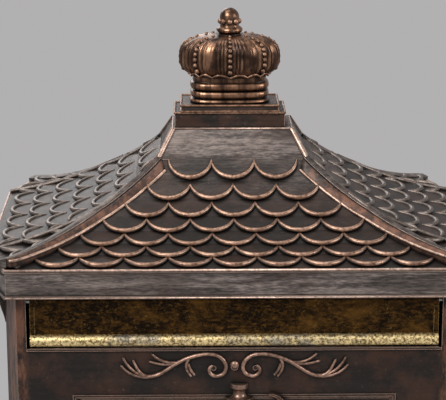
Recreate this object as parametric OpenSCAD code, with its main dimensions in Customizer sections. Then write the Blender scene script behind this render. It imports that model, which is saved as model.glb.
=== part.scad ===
// A cast letter box on a post: a concave fish-scale roof with a crown finial,
// a framed body with a letter flap and a locked door, and a fluted post.
// Front faces -Y, up is +Z, the origin is under the middle of the ground plinth.

/* [Roof] */
// Height of the eave's underside above the ground
eave_z = 950; // [800:5:1100]
// Width of the roof over its side bays
roof_w = 410; // [400:2:440]
// Depth of the roof, front eave to back eave
roof_d = 282; // [276:2:310]
// Distance by which each corner facet shortens the front eave
corner_w = 18; // [14:1:24]
// Distance by which each corner facet shortens the side eave
corner_d = 48; // [40:1:56]
// Height of the fascia band
fascia_h = 25; // [18:1:32]
// Rise from the eave's underside to the roof's kink below the collar
kink_rise = 93; // [80:1:110]
// Half width of the kink below the collar
kink_w = 63; // [58:1:68]
// Half depth of the kink below the collar
kink_d = 40; // [36:1:46]
// Height of the flat collar above the kink
collar_h = 22; // [16:1:30]
// Half width of the collar's top
collar_w = 51; // [49:1:56]
// Half depth of the collar's top
collar_d = 23; // [22:1:30]
// Half of the angle through which the roof's curve bends
roof_bend = 20; // [12:1:24]
// Share of the way down each hip at which its corner facet starts
facet_start = 0.36; // [0.3:0.01:0.45]
// Wall of the roof casting
roof_wall = 4; // [3:0.5:6]
// Courses of scales
courses = 7; // [5:1:8]
// Share of the slope that the first course covers
first_course = 0.187; // [0.15:0.001:0.24]
// Share of the slope at which the last course starts
last_course = 0.84; // [0.8:0.01:0.88]
// Width of one scale
scale_pitch = 36.5; // [32:0.5:42]
// Height by which a scale's lower edge stands proud
scale_lift = 3; // [2:0.25:4]
// Width of the hip ribs
hip_rib_w = 13; // [8:1:14]

/* [Finial] */
// Width of the crown's bulb
crown_w = 88.5; // [76:0.5:94]
// Depth of the crown's bulb
crown_d = 52; // [44:1:60]
// Width of the crown's neck
crown_neck_w = 65; // [56:1:72]
// Depth of the crown's neck
crown_neck_d = 35; // [30:1:40]
// Height of the plinth's lower block
block_h = 14; // [10:1:18]
// Height of the plinth's upper slab
slab_h = 5; // [3:0.5:8]
// Diameter of the stud that holds the crown
stud_dia = 8; // [6:1:10]

/* [Body] */
// Distance of the side walls in from the side eaves
side_eave_out = 12; // [10:1:16]
// Distance of the front and back walls in from the eaves
front_eave_out = 14; // [12:1:18]
// Distance by which each side bay stands out past the flat front
bay_w = 12; // [9:1:14]
// Distance from the front to the flat part of each side bay
bay_d = 37; // [32:1:44]
// Height of the walls
body_h = 330; // [320:5:380]
// Thickness of the front and back castings
panel_t = 4; // [3.5:0.25:5]
// Thickness of the side castings
side_t = 3.5; // [3:0.25:5]
// Thickness of the floor
floor_t = 8; // [6:0.5:12]

/* [Letter slot] */
// Distance of the slot's ends from the edges of the flat front
slot_end = 8.5; // [8:0.5:20]
// Distance from the eave down to the slot's lower edge
slot_drop = 48; // [44:0.5:56]
// Distance from the eave down to the slot's upper edge
slot_top = 4; // [3:0.25:5]
// Gap at each end of the flap
flap_gap = 3; // [1:0.25:4]
// Diameter of the flap's rod
flap_rod_dia = 4; // [3:0.5:5]

/* [Door] */
// Width of the door opening
door_w = 263; // [230:1:270]
// Distance from the eave down to the door opening
door_drop = 93; // [90:1:100]
// Height of the door opening
door_h = 202; // [180:1:206]
// Gap round the door
door_gap = 0.5; // [0.3:0.1:1]
// Diameter of the door's pins
door_pin_dia = 3.5; // [3:0.25:4]
// Diameter of the lock's barrel
lock_dia = 18; // [16:1:20]

/* [Post] */
// Width of the square ground plinth
plinth_w = 280; // [240:5:320]
// Height of the ground plinth
plinth_h = 56; // [44:1:70]
// Height of the moulded base above the ground plinth
post_base_h = 96; // [80:2:120]
// Diameter of the fluted column
column_dia = 76; // [64:1:84]
// Wall of the column
column_wall = 7; // [6.5:0.25:9]
// Number of flutes
flutes = 16; // [10:1:18]
// Height of the capital
capital_h = 62; // [52:1:80]
// Width of the capital's top plate
capital_w = 172; // [156:2:200]
// Distance of the anchor holes from the plinth's edges
anchor_edge = 22; // [18:1:26]
// Diameter of the anchor holes
anchor_dia = 12; // [10:1:14]
// Diameter of the tie rod
tie_dia = 12; // [10:1:14]

/* [Fasteners] */
// Thread diameter of the case screws
screw_dia = 4; // [3:0.5:5]
// Thread diameter of the bolts that hold the floor to the post
bolt_dia = 8; // [6:1:10]
// Running clearance in the hinges, on the diameter
run_fit = 0.15; // [0.05:0.05:0.2]
// Clearance round pins and screws in their seats, on the diameter
seat_fit = 0.06; // [0.02:0.02:0.1]

/* [Hidden] */
$fn = 48;
eps = 0.5;

// Colours
bronze = [0.21, 0.18, 0.16];
bronze_light = [0.36, 0.31, 0.28];
copper = [0.42, 0.27, 0.19];
brass = [0.62, 0.47, 0.2];
steel = [0.55, 0.55, 0.56];

// Plan sizes of the roof and the body
front_eave = roof_w - 2 * corner_w;
side_eave = roof_d - 2 * corner_d;
body_w = roof_w - 2 * side_eave_out;
body_d = roof_d - 2 * front_eave_out;
body_front = body_w - 2 * bay_w;
body_side = body_d - 2 * bay_d;
slot_w = body_front - 2 * slot_end;

// Levels
kink_z = eave_z + kink_rise;
collar_z = kink_z + collar_h;
body_z = eave_z - body_h;
floor_z = body_z - floor_t;
front_y = -body_d / 2;
front_back_y = front_y + panel_t;

// The roof's curve, an arc of roof_bend either side of its chord
roof_drop = kink_rise - fascia_h;
roof_run = roof_d / 2 - kink_d;
chord_angle = atan2(roof_drop, roof_run);
top_slope = chord_angle + roof_bend;
eave_slope = chord_angle - roof_bend;
function slope_at(s) = top_slope - 2 * roof_bend * s;
function run_share(s) = (sin(top_slope) - sin(slope_at(s))) / (sin(top_slope) - sin(eave_slope));
function drop_share(s) = (cos(slope_at(s)) - cos(top_slope)) / (cos(eave_slope) - cos(top_slope));
// The courses grow shorter by a little towards the eave
course_shrink = 0.15;
function course_start(i) = i == 0 ? 0 : i == courses ? 1 : let (x = (i - 1) / (courses - 2))
    first_course + (last_course - first_course) * x * (1 + course_shrink * (1 - x));
// Each entry is the share of the run and the height there
levels = [for (i = [0:courses]) let (s = course_start(i))
    [run_share(s), kink_z - roof_drop * drop_share(s)]];

// Corner facets, taken at the front right corner and mirrored to the others
facet_from = [front_eave / 2, roof_d / 2];
facet_to = [roof_w / 2, side_eave / 2];
facet_len = norm(facet_to - facet_from);
facet_along = (facet_from - facet_to) / facet_len;
facet_out = [facet_along[1], -facet_along[0]];
facet_angle = atan2(facet_out[1], facet_out[0]);
kink_plan = [kink_w, kink_d];
eave_plan = [roof_w / 2, roof_d / 2];
function hip_plan(u) = kink_plan + (eave_plan - kink_plan) * u;
apex_plan = hip_plan(facet_start);
facet_kink = kink_plan * facet_out;
facet_run = (eave_plan - kink_plan) * facet_out;
facet_end = (facet_from * facet_out - facet_kink) / facet_run;
facet_rate = (1 - facet_start) / (facet_end - facet_start);
function facet_dist(u) = facet_kink + facet_run * (facet_start + (u - facet_start) / facet_rate);
// Ends of the courses on the front and on the sides, and of those on the facets
function past_apex(u) = (u - facet_start) / (1 - facet_start);
function front_half(u) = u < facet_start ? hip_plan(u)[0]
    : apex_plan[0] + (facet_from[0] - apex_plan[0]) * past_apex(u);
function side_half(u) = u < facet_start ? hip_plan(u)[1]
    : apex_plan[1] + (facet_to[1] - apex_plan[1]) * past_apex(u);
function facet_side(p, u) = (apex_plan + (p - apex_plan) * past_apex(u)) * facet_along;

// Scales
scale_cusp = 2.6;
scale_root = 4;
scale_drop = 0.42 * scale_pitch;
first_drop = 0.49 * scale_pitch;
scale_steps = 7;
scale_t = 5;
plate_lift = 0.2;
hip_rise = 2.6;
hip_start = 0.6;
hip_ramp = 0.08;
hip_steps = [1, 0.64, 0.3];
hip_sink = 8;
ridge_w = 4;
collar_rib_w = 5;
soffit_t = 3;
soffit_in = 24;
bead = 1.2;
bead_h = 2.6;
collar_bead = 0.6;
roof_top_t = roof_wall + 1;

// Body
facet_shift = (body_w - body_front) / (body_d - body_side);
flange_w = 16;
flange_low = slot_drop + 12;
flange_x = body_w / 2 - flange_w / 2 - side_t;
flange_y = body_side / 2 - 20;
screw_hold = 3;
hole_fit = 0.6;
stud_fit = 0.5;
finial_x = -2;
lug_t = 5;
rod_y = front_back_y + 2;
rod_z = eave_z - slot_top - 4.5;
barrel_r = 4;
flap_t = 2.5;
flap_w = slot_w - 2 * flap_gap;
roll_r = 5.3;
roll_z = eave_z - slot_drop + roll_r + 0.7;
roll_in = 0.6;
roll_y = rod_y - barrel_r + roll_in;

// Door
door_top = eave_z - door_drop;
door_low = door_top - door_h;
hinge_r = 4;
hinge_x = -door_w / 2 + door_gap + hinge_r;
hinge_y = front_y + 0.2 + hinge_r;
door_t = 4;
door_y = front_y + 0.2;
door_back = door_y + door_t;
lock_x = door_w / 2 - 21;
lock_z = door_top - door_h / 2;
plug_dia = lock_dia - 6;
pin_engage = 7;
pin_in_lug = 6;
lug_len = 8;
rim_t = 8;
rim_w = 7;
door_bead_out = 1.2;
door_bead_w = 2.4;
door_bead_in = 6;

// Post
anchor_at = plinth_w / 2 - anchor_edge;
ledge_half = anchor_at - anchor_dia / 2 - 2;
step_half = ledge_half - 8;
column_z = plinth_h + post_base_h;
capital_z = floor_z - capital_h;
column_r = column_dia / 2;
bolt_pitch = capital_w - 40;
web_t = 10;
spigot_h = 25;
spigot_gap = 0.2;

// A drawing in X and Z, made solid from y_back towards the front
module facing(y_back, t) {
    translate([0, y_back, 0])
        rotate([90, 0, 0])
            linear_extrude(t)
                children();
}

module four_corners() {
    for (sx = [0, 1], sy = [0, 1])
        mirror([sx, 0, 0])
            mirror([0, sy, 0])
                children();
}

module both_sides() {
    children();
    mirror([1, 0, 0])
        children();
}

// An eight-sided plan with straight front, sides and corner facets
module eight_sides(front, side, w, d) {
    polygon([[-front, -d], [front, -d], [w, -side], [w, side],
        [front, d], [-front, d], [-w, side], [-w, -side]]);
}

module eave_shape(grow) {
    eight_sides(front_eave / 2 + grow, side_eave / 2 + grow, roof_w / 2 + grow, roof_d / 2 + grow);
}

module body_shape(grow) {
    eight_sides(body_front / 2 + grow, body_side / 2 + grow, body_w / 2 + grow, body_d / 2 + grow);
}

// Half profile points of one pair of slopes, from the collar down to the eave
function slope_points(top, kink, eave, inset, lower) = concat(
    [[top - inset, collar_z - lower]],
    [for (p = levels) [kink + (eave - kink) * p[0] - inset, p[1] - lower]],
    [[eave - inset, eave_z - lower]]);
function facet_points(inset, lower) = concat(
    [[facet_dist(0) - inset, collar_z - lower]],
    [for (p = levels) [facet_dist(p[0]) - inset, p[1] - lower]],
    [[facet_dist(1) - inset, eave_z - lower]]);
function mirrored(points) = concat(points, [for (i = [len(points) - 1:-1:0])
    [-points[i][0], points[i][1]]]);

module facet_block(span, turn, inset, lower) {
    rotate([90, 0, turn])
        translate([0, 0, -span / 2])
            linear_extrude(span)
                polygon(mirrored(facet_points(inset, lower)));
}

// The roof's block, all slopes drawn in by inset and down by lower
module roof_block(inset, lower) {
    span = roof_w + roof_d;
    intersection() {
        rotate([90, 0, 90])
            translate([0, 0, -span / 2])
                linear_extrude(span)
                    polygon(mirrored(slope_points(collar_d, kink_d, roof_d / 2, inset, lower)));
        rotate([90, 0, 0])
            translate([0, 0, -span / 2])
                linear_extrude(span)
                    polygon(mirrored(slope_points(collar_w, kink_w, roof_w / 2, inset, lower)));
        facet_block(span, facet_angle, inset, lower);
        facet_block(span, -facet_angle, inset, lower);
    }
}

// Lower edge of one course, right to left: count scales from first on, each the arc of a circle
function course_edge(first, count, drop) = let (
    r = (scale_pitch * scale_pitch / 4 + drop * drop) / (2 * drop),
    half = asin(scale_pitch / 2 / r))
    concat([for (j = [count - 1:-1:0], k = [scale_steps:-1:1 - scale_steps])
        let (a = half * k / scale_steps)
            [first + (j + 0.5) * scale_pitch + r * sin(a), -scale_cusp - drop + r - r * cos(a)]],
        [[first, -scale_cusp]]);

// Whole scales in the middle of a course, and scales that run on under the hips
function whole_edge(half, drop) = let (count = max(1, round(2 * half / scale_pitch)))
    course_edge(-count * scale_pitch / 2, count, drop);
function running_edge(ends, shift, drop) = let (from = floor((ends[0] - shift) / scale_pitch) - 1)
    course_edge(shift + from * scale_pitch, ceil((ends[1] - shift) / scale_pitch) + 1 - from, drop);

// One course as an outline: straight top edge, ends along the hips, scalloped lower edge
module course_outline(top, low, length, edge) {
    function left(y) = top[0] + (low[0] - top[0]) * -y / length;
    function right(y) = top[1] + (low[1] - top[1]) * -y / length;
    polygon(concat(
        [[left(scale_root), scale_root], [right(scale_root), scale_root],
            [right(-scale_cusp), -scale_cusp]],
        [for (p = edge) if (p[0] > left(p[1]) + 1 && p[0] < right(p[1]) - 1) p],
        [[left(-scale_cusp), -scale_cusp]]));
}

// The courses of one slope, which faces -Y and starts at dist(0) from the middle
module courses_on(start, run, tops, edges, drops, first) {
    for (i = [first:courses - 1]) {
        du = levels[i + 1][0] - levels[i][0];
        dz = levels[i][1] - levels[i + 1][1];
        tilt = asin((scale_lift - plate_lift) / (scale_cusp + drops[i]));
        translate([0, -start - run * levels[i][0], levels[i][1]])
            rotate([atan2(dz, run * du) - tilt, 0, 0])
                translate([0, 0, plate_lift - scale_t])
                    linear_extrude(scale_t)
                        course_outline(tops[i], tops[i + 1], norm([run * du, dz]), edges[i]);
    }
}

// A raised rib on the roof along a straight line in plan, which rises from its upper end
function front_fall(u) = let (a = max(0, u - 0.01), b = min(1, u + 0.01))
    (lookup(a, levels) - lookup(b, levels)) / ((b - a) * (roof_d / 2 - kink_d));
module roof_rib(from, from_u, to, to_u, w, start) {
    way = to - from;
    across = w / 2 * way[0] / norm(way);
    ramp_u = from_u + hip_ramp;
    stops = concat([from_u, ramp_u], [for (p = levels) if (p[0] > ramp_u && p[0] < to_u) p[0]], [to_u]);
    top = [for (u = stops) [norm(way) * (u - from_u) / (to_u - from_u), lookup(u, levels)]];
    translate([from[0], from[1], 0])
        rotate([90, 0, atan2(way[1], way[0])])
            translate([0, 0, -w / 2])
                linear_extrude(w)
                    polygon(concat([for (i = [0:len(top) - 1])
                            top[i] + [0, (i == 0 ? start : hip_rise) - across * front_fall(stops[i])]],
                        [for (i = [len(top) - 1:-1:0]) top[i] - [0, hip_sink]]));
}

// The rounded corner of the collar
module collar_rib() {
    way = kink_plan - [collar_w, collar_d];
    translate([collar_w, collar_d, 0])
        rotate([90, 0, atan2(way[1], way[0])])
            translate([0, 0, -collar_rib_w / 2])
                linear_extrude(collar_rib_w)
                    polygon([[0, collar_z], [norm(way) + hip_start, kink_z],
                        [norm(way), kink_z - hip_sink], [0, collar_z - hip_sink]]);
}

module roof_courses() {
    front_tops = [for (p = levels) [-front_half(p[0]), front_half(p[0])]];
    side_tops = [for (p = levels) [-side_half(p[0]), side_half(p[0])]];
    facet_tops = [for (p = levels) [facet_side(facet_to, p[0]), facet_side(facet_from, p[0])]];
    facet_first = len([for (p = levels) if (p[0] < facet_start + 0.1) p]);
    drops = [for (i = [0:courses - 1]) i == 0 ? first_drop : scale_drop];
    front_edges = [for (i = [0:courses - 1]) whole_edge(front_tops[i][1] - hip_rib_w / 2 - scale_cusp,
        drops[i])];
    side_edges = [for (i = [0:courses - 1]) running_edge(side_tops[i + 1], (i % 2) * scale_pitch / 2,
        drops[i])];
    facet_edges = [for (i = [0:courses - 1]) running_edge(facet_tops[i + 1],
        (facet_tops[i][0] + facet_tops[i][1]) / 2, scale_drop)];
    for (turn = [0, 180])
        rotate([0, 0, turn])
            courses_on(kink_d, roof_d / 2 - kink_d, front_tops, front_edges, drops, 0);
    for (turn = [90, 270])
        rotate([0, 0, turn])
            courses_on(kink_w, roof_w / 2 - kink_w, side_tops, side_edges, drops, 0);
    four_corners()
        rotate([0, 0, 90 + facet_angle])
            courses_on(facet_dist(0), facet_dist(1) - facet_dist(0), facet_tops, facet_edges, drops,
                facet_first);
}

module roof_ribs() {
    four_corners() {
        for (share = hip_steps) {
            roof_rib(kink_plan, 0, apex_plan, facet_start, hip_rib_w * share, hip_start);
            roof_rib(apex_plan, facet_start, facet_from, 1, hip_rib_w * share, hip_rise);
        }
        roof_rib(apex_plan, facet_start, facet_to, 1, ridge_w, hip_rise);
    }
}

module eave_ring(z, h, grow, inner) {
    translate([0, 0, z])
        linear_extrude(h)
            difference() {
                eave_shape(grow);
                body_shape(inner);
            }
}

module roof() {
    boss_r = 7;
    boss_h = 9;
    color(bronze)
        difference() {
            union() {
                difference() {
                    roof_block(0, 0);
                    roof_block(roof_wall, roof_wall + 1);
                }
                roof_courses();
                intersection() {
                    roof_ribs();
                    translate([0, 0, eave_z])
                        linear_extrude(kink_rise + hip_rise)
                            eave_shape(-0.3);
                }
                eave_ring(eave_z, soffit_t, -eps, -soffit_in);
                eave_ring(eave_z, bead_h, bead, 2);
                eave_ring(eave_z + fascia_h - bead_h, bead_h, bead, 2 + roof_wall);
                translate([-collar_w - collar_bead, -collar_d - collar_bead, collar_z - bead_h])
                    cube([2 * (collar_w + collar_bead), 2 * (collar_d + collar_bead), bead_h]);
                four_corners() {
                    collar_rib();
                    translate([flange_x, flange_y, eave_z + eps])
                        cylinder(h = boss_h, r = boss_r);
                }
            }
            translate([finial_x, 0, collar_z - 3 * roof_top_t])
                cylinder(h = 4 * roof_top_t, d = stud_dia + stud_fit);
            four_corners()
                translate([flange_x, flange_y, eave_z - eps])
                    cylinder(h = screw_hold + 4, d = screw_dia + seat_fit);
        }
}

// A closed curve between an ellipse and a rectangle, with half sizes a and b
function soft_oval(a, b, n, count) = [for (i = [0:count - 1])
    let (t = 360 * i / count, c = cos(t), s = sin(t))
        [a * sign(c) * pow(abs(c), 2 / n), b * sign(s) * pow(abs(s), 2 / n)]];

// Crown, with heights above its plinth
crown_base = collar_z + block_h + slab_h;
waist_h = 19.5;
widest_h = 38;
crown_h = 59;
bulb_low = 24;
bulb_ribs = 8;
bulb_count = 80;
bulb_levels = 11;
bead_r = 2.1;
row_beads = 7;
neck_z = crown_h - 3;
neck_r = 10.3;
disc_r = 10.9;
disc_h = 6;
throat_r = 8.2;
dome_r = 7.3;
dome_h = 9;
dome_z = 72.6;
knob_beads = 9;
knob_bead_r = 2.7;

// Share of the bulb's half width at the height h
function bulb_r(h) = h > widest_h
    ? pow(max(0, 1 - pow((h - widest_h) / (crown_h - widest_h), 3)), 1 / 3)
    : pow(1 - pow((widest_h - h) / bulb_low, 2.5), 1 / 2.5);
function lobe(t, h) = 1 - 0.05 * pow(abs(cos(t * bulb_ribs / 2)), 8)
    * sin(180 * (h - waist_h) / (crown_h - waist_h));
// The levels close up towards the top, where the bulb turns fastest
function bulb_h(j) = waist_h + (crown_h - 0.4 - waist_h) * sin(90 * j / bulb_levels);

module crown_bulb() {
    ring = [for (j = [0:bulb_levels], i = [0:bulb_count - 1])
        let (h = bulb_h(j), t = 360 * i / bulb_count, r = bulb_r(h) * lobe(t, h))
            [crown_w / 2 * r * cos(t), crown_d / 2 * r * sin(t), h]];
    side = [for (j = [0:bulb_levels - 1], i = [0:bulb_count - 1])
        let (a = j * bulb_count + i, b = j * bulb_count + (i + 1) % bulb_count)
            [a, a + bulb_count, b + bulb_count, b]];
    polyhedron(ring, concat(side, [[for (i = [0:bulb_count - 1]) i]],
        [[for (i = [bulb_count - 1:-1:0]) bulb_levels * bulb_count + i]]));
}

module neck_ring(z, h, grow) {
    translate([0, 0, z])
        linear_extrude(h)
            polygon(soft_oval(crown_neck_w / 2 + grow, crown_neck_d / 2 + grow, 3.4, 48));
}

// A rounded moulding of the neck, in three steps
module neck_bead(z, h, grow) {
    neck_ring(z, h, grow / 3);
    neck_ring(z + h / 6, h * 2 / 3, grow);
}

module crown_knob() {
    rotate_extrude($fn = 32)
        intersection() {
            square([disc_r + 1, dome_z + dome_h]);
            union() {
                translate([0, neck_z - 10])
                    square([neck_r, 14]);
                translate([disc_r - disc_h / 2, neck_z + disc_h / 2 + 4])
                    circle(d = disc_h, $fn = 16);
                translate([0, neck_z + 4])
                    square([disc_r - disc_h / 2, disc_h]);
                square([throat_r, dome_z]);
                translate([0, dome_z])
                    scale([dome_r / dome_h, 1])
                        circle(r = dome_h, $fn = 24);
            }
        }
}

module crown_beads() {
    for (i = [0:bulb_ribs - 1], k = [1:row_beads]) {
        t = 360 * i / bulb_ribs;
        h = bulb_h(bulb_levels * (k + 0.4) / (row_beads + 1.6));
        r = bulb_r(h) * lobe(t, h) - 0.008;
        translate([crown_w / 2 * r * cos(t), crown_d / 2 * r * sin(t), h])
            hull()
                sphere(r = bead_r * (1 - 0.25 * h / crown_h), $fn = 8);
    }
    for (i = [0:knob_beads - 1])
        rotate([0, 0, 360 / knob_beads * i - 90])
            translate([dome_r, 0, dome_z - 1])
                hull()
                    sphere(r = knob_bead_r, $fn = 8);
}

module crown_finial() {
    bore = 27;
    color(copper)
        translate([finial_x, 0, crown_base])
            difference() {
                union() {
                    neck_bead(0, 2.6, 1.6);
                    neck_ring(0, waist_h + 1, -0.8);
                    neck_bead(4.2, 5, 0.9);
                    neck_bead(11.4, 5.4, 0.9);
                    crown_bulb();
                    crown_knob();
                    crown_beads();
                }
                translate([0, 0, -1])
                    cylinder(h = bore, d = stud_dia + 0.3, $fn = 32);
            }
}

module finial_plinth() {
    block_w = 95;
    block_d = 2 * collar_d - 2;
    slab_w = 80;
    slab_d = 42;
    cap_out = 2;
    groove = 1.5;
    color(bronze_light)
        translate([finial_x, 0, collar_z])
            difference() {
                union() {
                    translate([-block_w / 2, -block_d / 2, 0])
                        cube([block_w, block_d, block_h - groove]);
                    translate([-slab_w / 2, -slab_d / 2, 0])
                        cube([slab_w, slab_d, block_h]);
                    translate([-slab_w / 2 - cap_out, -slab_d / 2 - cap_out / 2, block_h])
                        cube([slab_w + 2 * cap_out, slab_d + cap_out, slab_h]);
                }
                translate([0, 0, -1])
                    cylinder(h = block_h + slab_h + 2, d = stud_dia + stud_fit);
            }
}

washer_t = 2;
nut_t = 6.5;
stud_hold = 25;
stud_low = collar_z - roof_top_t - washer_t - nut_t - 4;

module finial_stud() {
    color(steel)
        translate([finial_x, 0, stud_low])
            cylinder(h = crown_base + stud_hold - stud_low, d = stud_dia);
}

module flat_washer(d, t) {
    difference() {
        cylinder(h = t, d = 2.2 * d);
        translate([0, 0, -eps])
            cylinder(h = t + 2 * eps, d = d + 0.4);
    }
}

module hex_nut(d, t) {
    difference() {
        cylinder(h = t, d = 1.85 * d, $fn = 6);
        translate([0, 0, -eps])
            cylinder(h = t + 2 * eps, d = d + 0.1);
    }
}

module finial_washer() {
    color(steel)
        translate([finial_x, 0, collar_z - roof_top_t - washer_t])
            flat_washer(stud_dia, washer_t);
}

module finial_nut() {
    color(steel)
        translate([finial_x, 0, collar_z - roof_top_t - washer_t - nut_t])
            hex_nut(stud_dia, nut_t);
}

// One raised stroke of the scrollwork: a curve with four guide points, round at both ends
stroke_steps = 14;
function curve(p, t) = pow(1 - t, 3) * p[0] + 3 * t * pow(1 - t, 2) * p[1]
    + 3 * t * t * (1 - t) * p[2] + pow(t, 3) * p[3];
function curve_way(p, t) = let (d = pow(1 - t, 2) * (p[1] - p[0]) + 2 * t * (1 - t) * (p[2] - p[1])
    + t * t * (p[3] - p[2])) d / norm(d);
module stroke(p, from_w, to_w) {
    function across(t, side) = let (w = from_w + (to_w - from_w) * t, d = curve_way(p, t))
        curve(p, t) + side * w / 2 * [d[1], -d[0]];
    function cap(t, w, turn) = let (d = curve_way(p, t), a = atan2(d[1], d[0]) + turn)
        [for (b = [-54:36:54]) curve(p, t) + w / 2 * [cos(a + b), sin(a + b)]];
    polygon(concat([for (i = [0:stroke_steps]) across(i / stroke_steps, 1)], cap(1, to_w, 0),
        [for (i = [stroke_steps:-1:0]) across(i / stroke_steps, -1)], cap(0, from_w, 180)));
}

scroll_rise = 2.2;
stem_w = 2.8;
leaf_w = 2.2;
point_w = 1.2;
scroll_z = 64;

// The left half of the scroll, with its heights below the eave
module half_scroll() {
    translate([0, eave_z]) {
        stroke([[-84.3, -58.4], [-81.1, -66.1], [-78.7, -71.9], [-72, -72.9]], point_w, stem_w);
        stroke([[-72, -72.9], [-61.2, -72.9], [-54.5, -64.4], [-45.3, -59.7]], stem_w, stem_w);
        stroke([[-45.3, -59.7], [-38.6, -56.2], [-30.3, -53.4], [-22, -53.3]], stem_w, stem_w);
        stroke([[-22, -53.3], [-5.3, -52.8], [-2, -71.9], [-15, -72.8]], stem_w, stem_w);
        stroke([[-15, -72.8], [-21.2, -73], [-23.3, -64.6], [-18.2, -63.8]], stem_w, leaf_w);
        stroke([[-94.4, -63], [-90.3, -69], [-82.9, -73.7], [-72, -73.4]], point_w, leaf_w);
        stroke([[-92.6, -56.2], [-89.7, -63], [-84.5, -69.1], [-76.2, -72.3]], point_w, leaf_w);
        stroke([[-68.2, -53.2], [-63.6, -58.2], [-56.9, -61.4], [-49, -60.7]], point_w, leaf_w);
        stroke([[-70.6, -59.5], [-64.4, -61.7], [-55.3, -63.9], [-46.1, -60.4]], point_w, leaf_w);
        stroke([[-38, -57.6], [-42, -61.8], [-40.3, -68.1], [-36.2, -72.5]], leaf_w, point_w);
        stroke([[-38.6, -62], [-37.4, -66.4], [-35.6, -69], [-33.4, -71.5]], leaf_w, point_w);
        translate([-17.4, -65.4])
            circle(r = 2.2, $fn = 20);
    }
}

module door_hole(grow) {
    translate([-door_w / 2 - grow, door_low - grow])
        square([door_w + 2 * grow, door_h + 2 * grow]);
}

module screw_points() {
    for (sx = [-1, 1], z = [body_z + 30, eave_z - flange_low - 30])
        translate([sx * (body_front / 2 - side_t - flange_w / 2), 0, z])
            children();
}

module front_panel() {
    chamfer = panel_t * facet_shift;
    color(bronze_light)
        difference() {
            union() {
                translate([0, 0, body_z])
                    linear_extrude(body_h)
                        polygon([[-body_front / 2, front_y], [body_front / 2, front_y],
                            [body_front / 2 + chamfer, front_back_y],
                            [-body_front / 2 - chamfer, front_back_y]]);
                // Ledge below the slot and bead round the door
                translate([-slot_w / 2, front_y - 2, eave_z - slot_drop - 2])
                    cube([slot_w, 3, 2]);
                facing(front_y + 1, 1 + bead)
                    difference() {
                        door_hole(door_bead_out + door_bead_w);
                        door_hole(door_bead_out);
                    }
                facing(front_y + 1, 1 + scroll_rise)
                    both_sides()
                        half_scroll();
                facing(front_y + 1, 2 + scroll_rise)
                    translate([0, eave_z - scroll_z])
                        circle(r = 3, $fn = 24);
                // Rim that stiffens the door opening
                facing(front_y + rim_t, rim_t - panel_t + eps)
                    difference() {
                        door_hole(rim_w);
                        door_hole(0.6);
                    }
                // Lugs for the flap's rod
                for (sx = [-1, 1])
                    translate([sx * (slot_w + lug_t) / 2 - lug_t / 2, front_back_y - eps, rod_z - 5])
                        cube([lug_t, 2 * barrel_r, 9]);
                // Stops that the flap rests against
                for (sx = [-1, 1])
                    translate([sx * slot_w / 3 - 6, front_back_y - eps, eave_z - slot_drop - 10]) {
                        cube([12, 7 + eps, 9]);
                        translate([0, roll_y + roll_r + 0.3 - front_back_y + eps, 0])
                            cube([12, 3, 18]);
                    }
                // Pads for the door's pins
                for (z = [door_top, door_low - lug_len])
                    translate([hinge_x - 6, front_back_y - eps, z])
                        cube([12, rim_t - panel_t + 1.5 + eps, lug_len]);
            }
            translate([-slot_w / 2, front_y - 4, eave_z - slot_drop])
                cube([slot_w, panel_t + 5, slot_drop - slot_top]);
            facing(front_y + 2 * rim_t, 3 * rim_t)
                door_hole(0);
            for (z = [door_top - eps, door_low - pin_in_lug])
                translate([hinge_x, hinge_y, z])
                    cylinder(h = pin_in_lug + eps, d = door_pin_dia + seat_fit);
            translate([-slot_w / 2 - 20, rod_y, rod_z])
                rotate([0, 90, 0])
                    cylinder(h = slot_w + 40, d = flap_rod_dia + seat_fit);
            screw_points()
                translate([0, front_back_y - 3, 0])
                    rotate([-90, 0, 0])
                        cylinder(h = 8, d = screw_dia + seat_fit);
        }
}

module back_panel() {
    chamfer = panel_t * facet_shift;
    color(bronze_light)
        difference() {
            translate([0, 0, body_z])
                linear_extrude(body_h)
                    polygon([[-body_front / 2, -front_y], [body_front / 2, -front_y],
                        [body_front / 2 + chamfer, -front_back_y],
                        [-body_front / 2 - chamfer, -front_back_y]]);
            screw_points()
                translate([0, -front_back_y + 3, 0])
                    rotate([90, 0, 0])
                        cylinder(h = 8, d = screw_dia + seat_fit);
        }
}

// A leaf curled outwards, drawn from the wall out and from the eave down
module leaf_bracket() {
    stroke([[1, -38], [2, -27], [5.2, -24], [3.6, -11]], 2, 7);
    translate([3.2, -9.5])
        circle(r = 3.6, $fn = 24);
}

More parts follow.
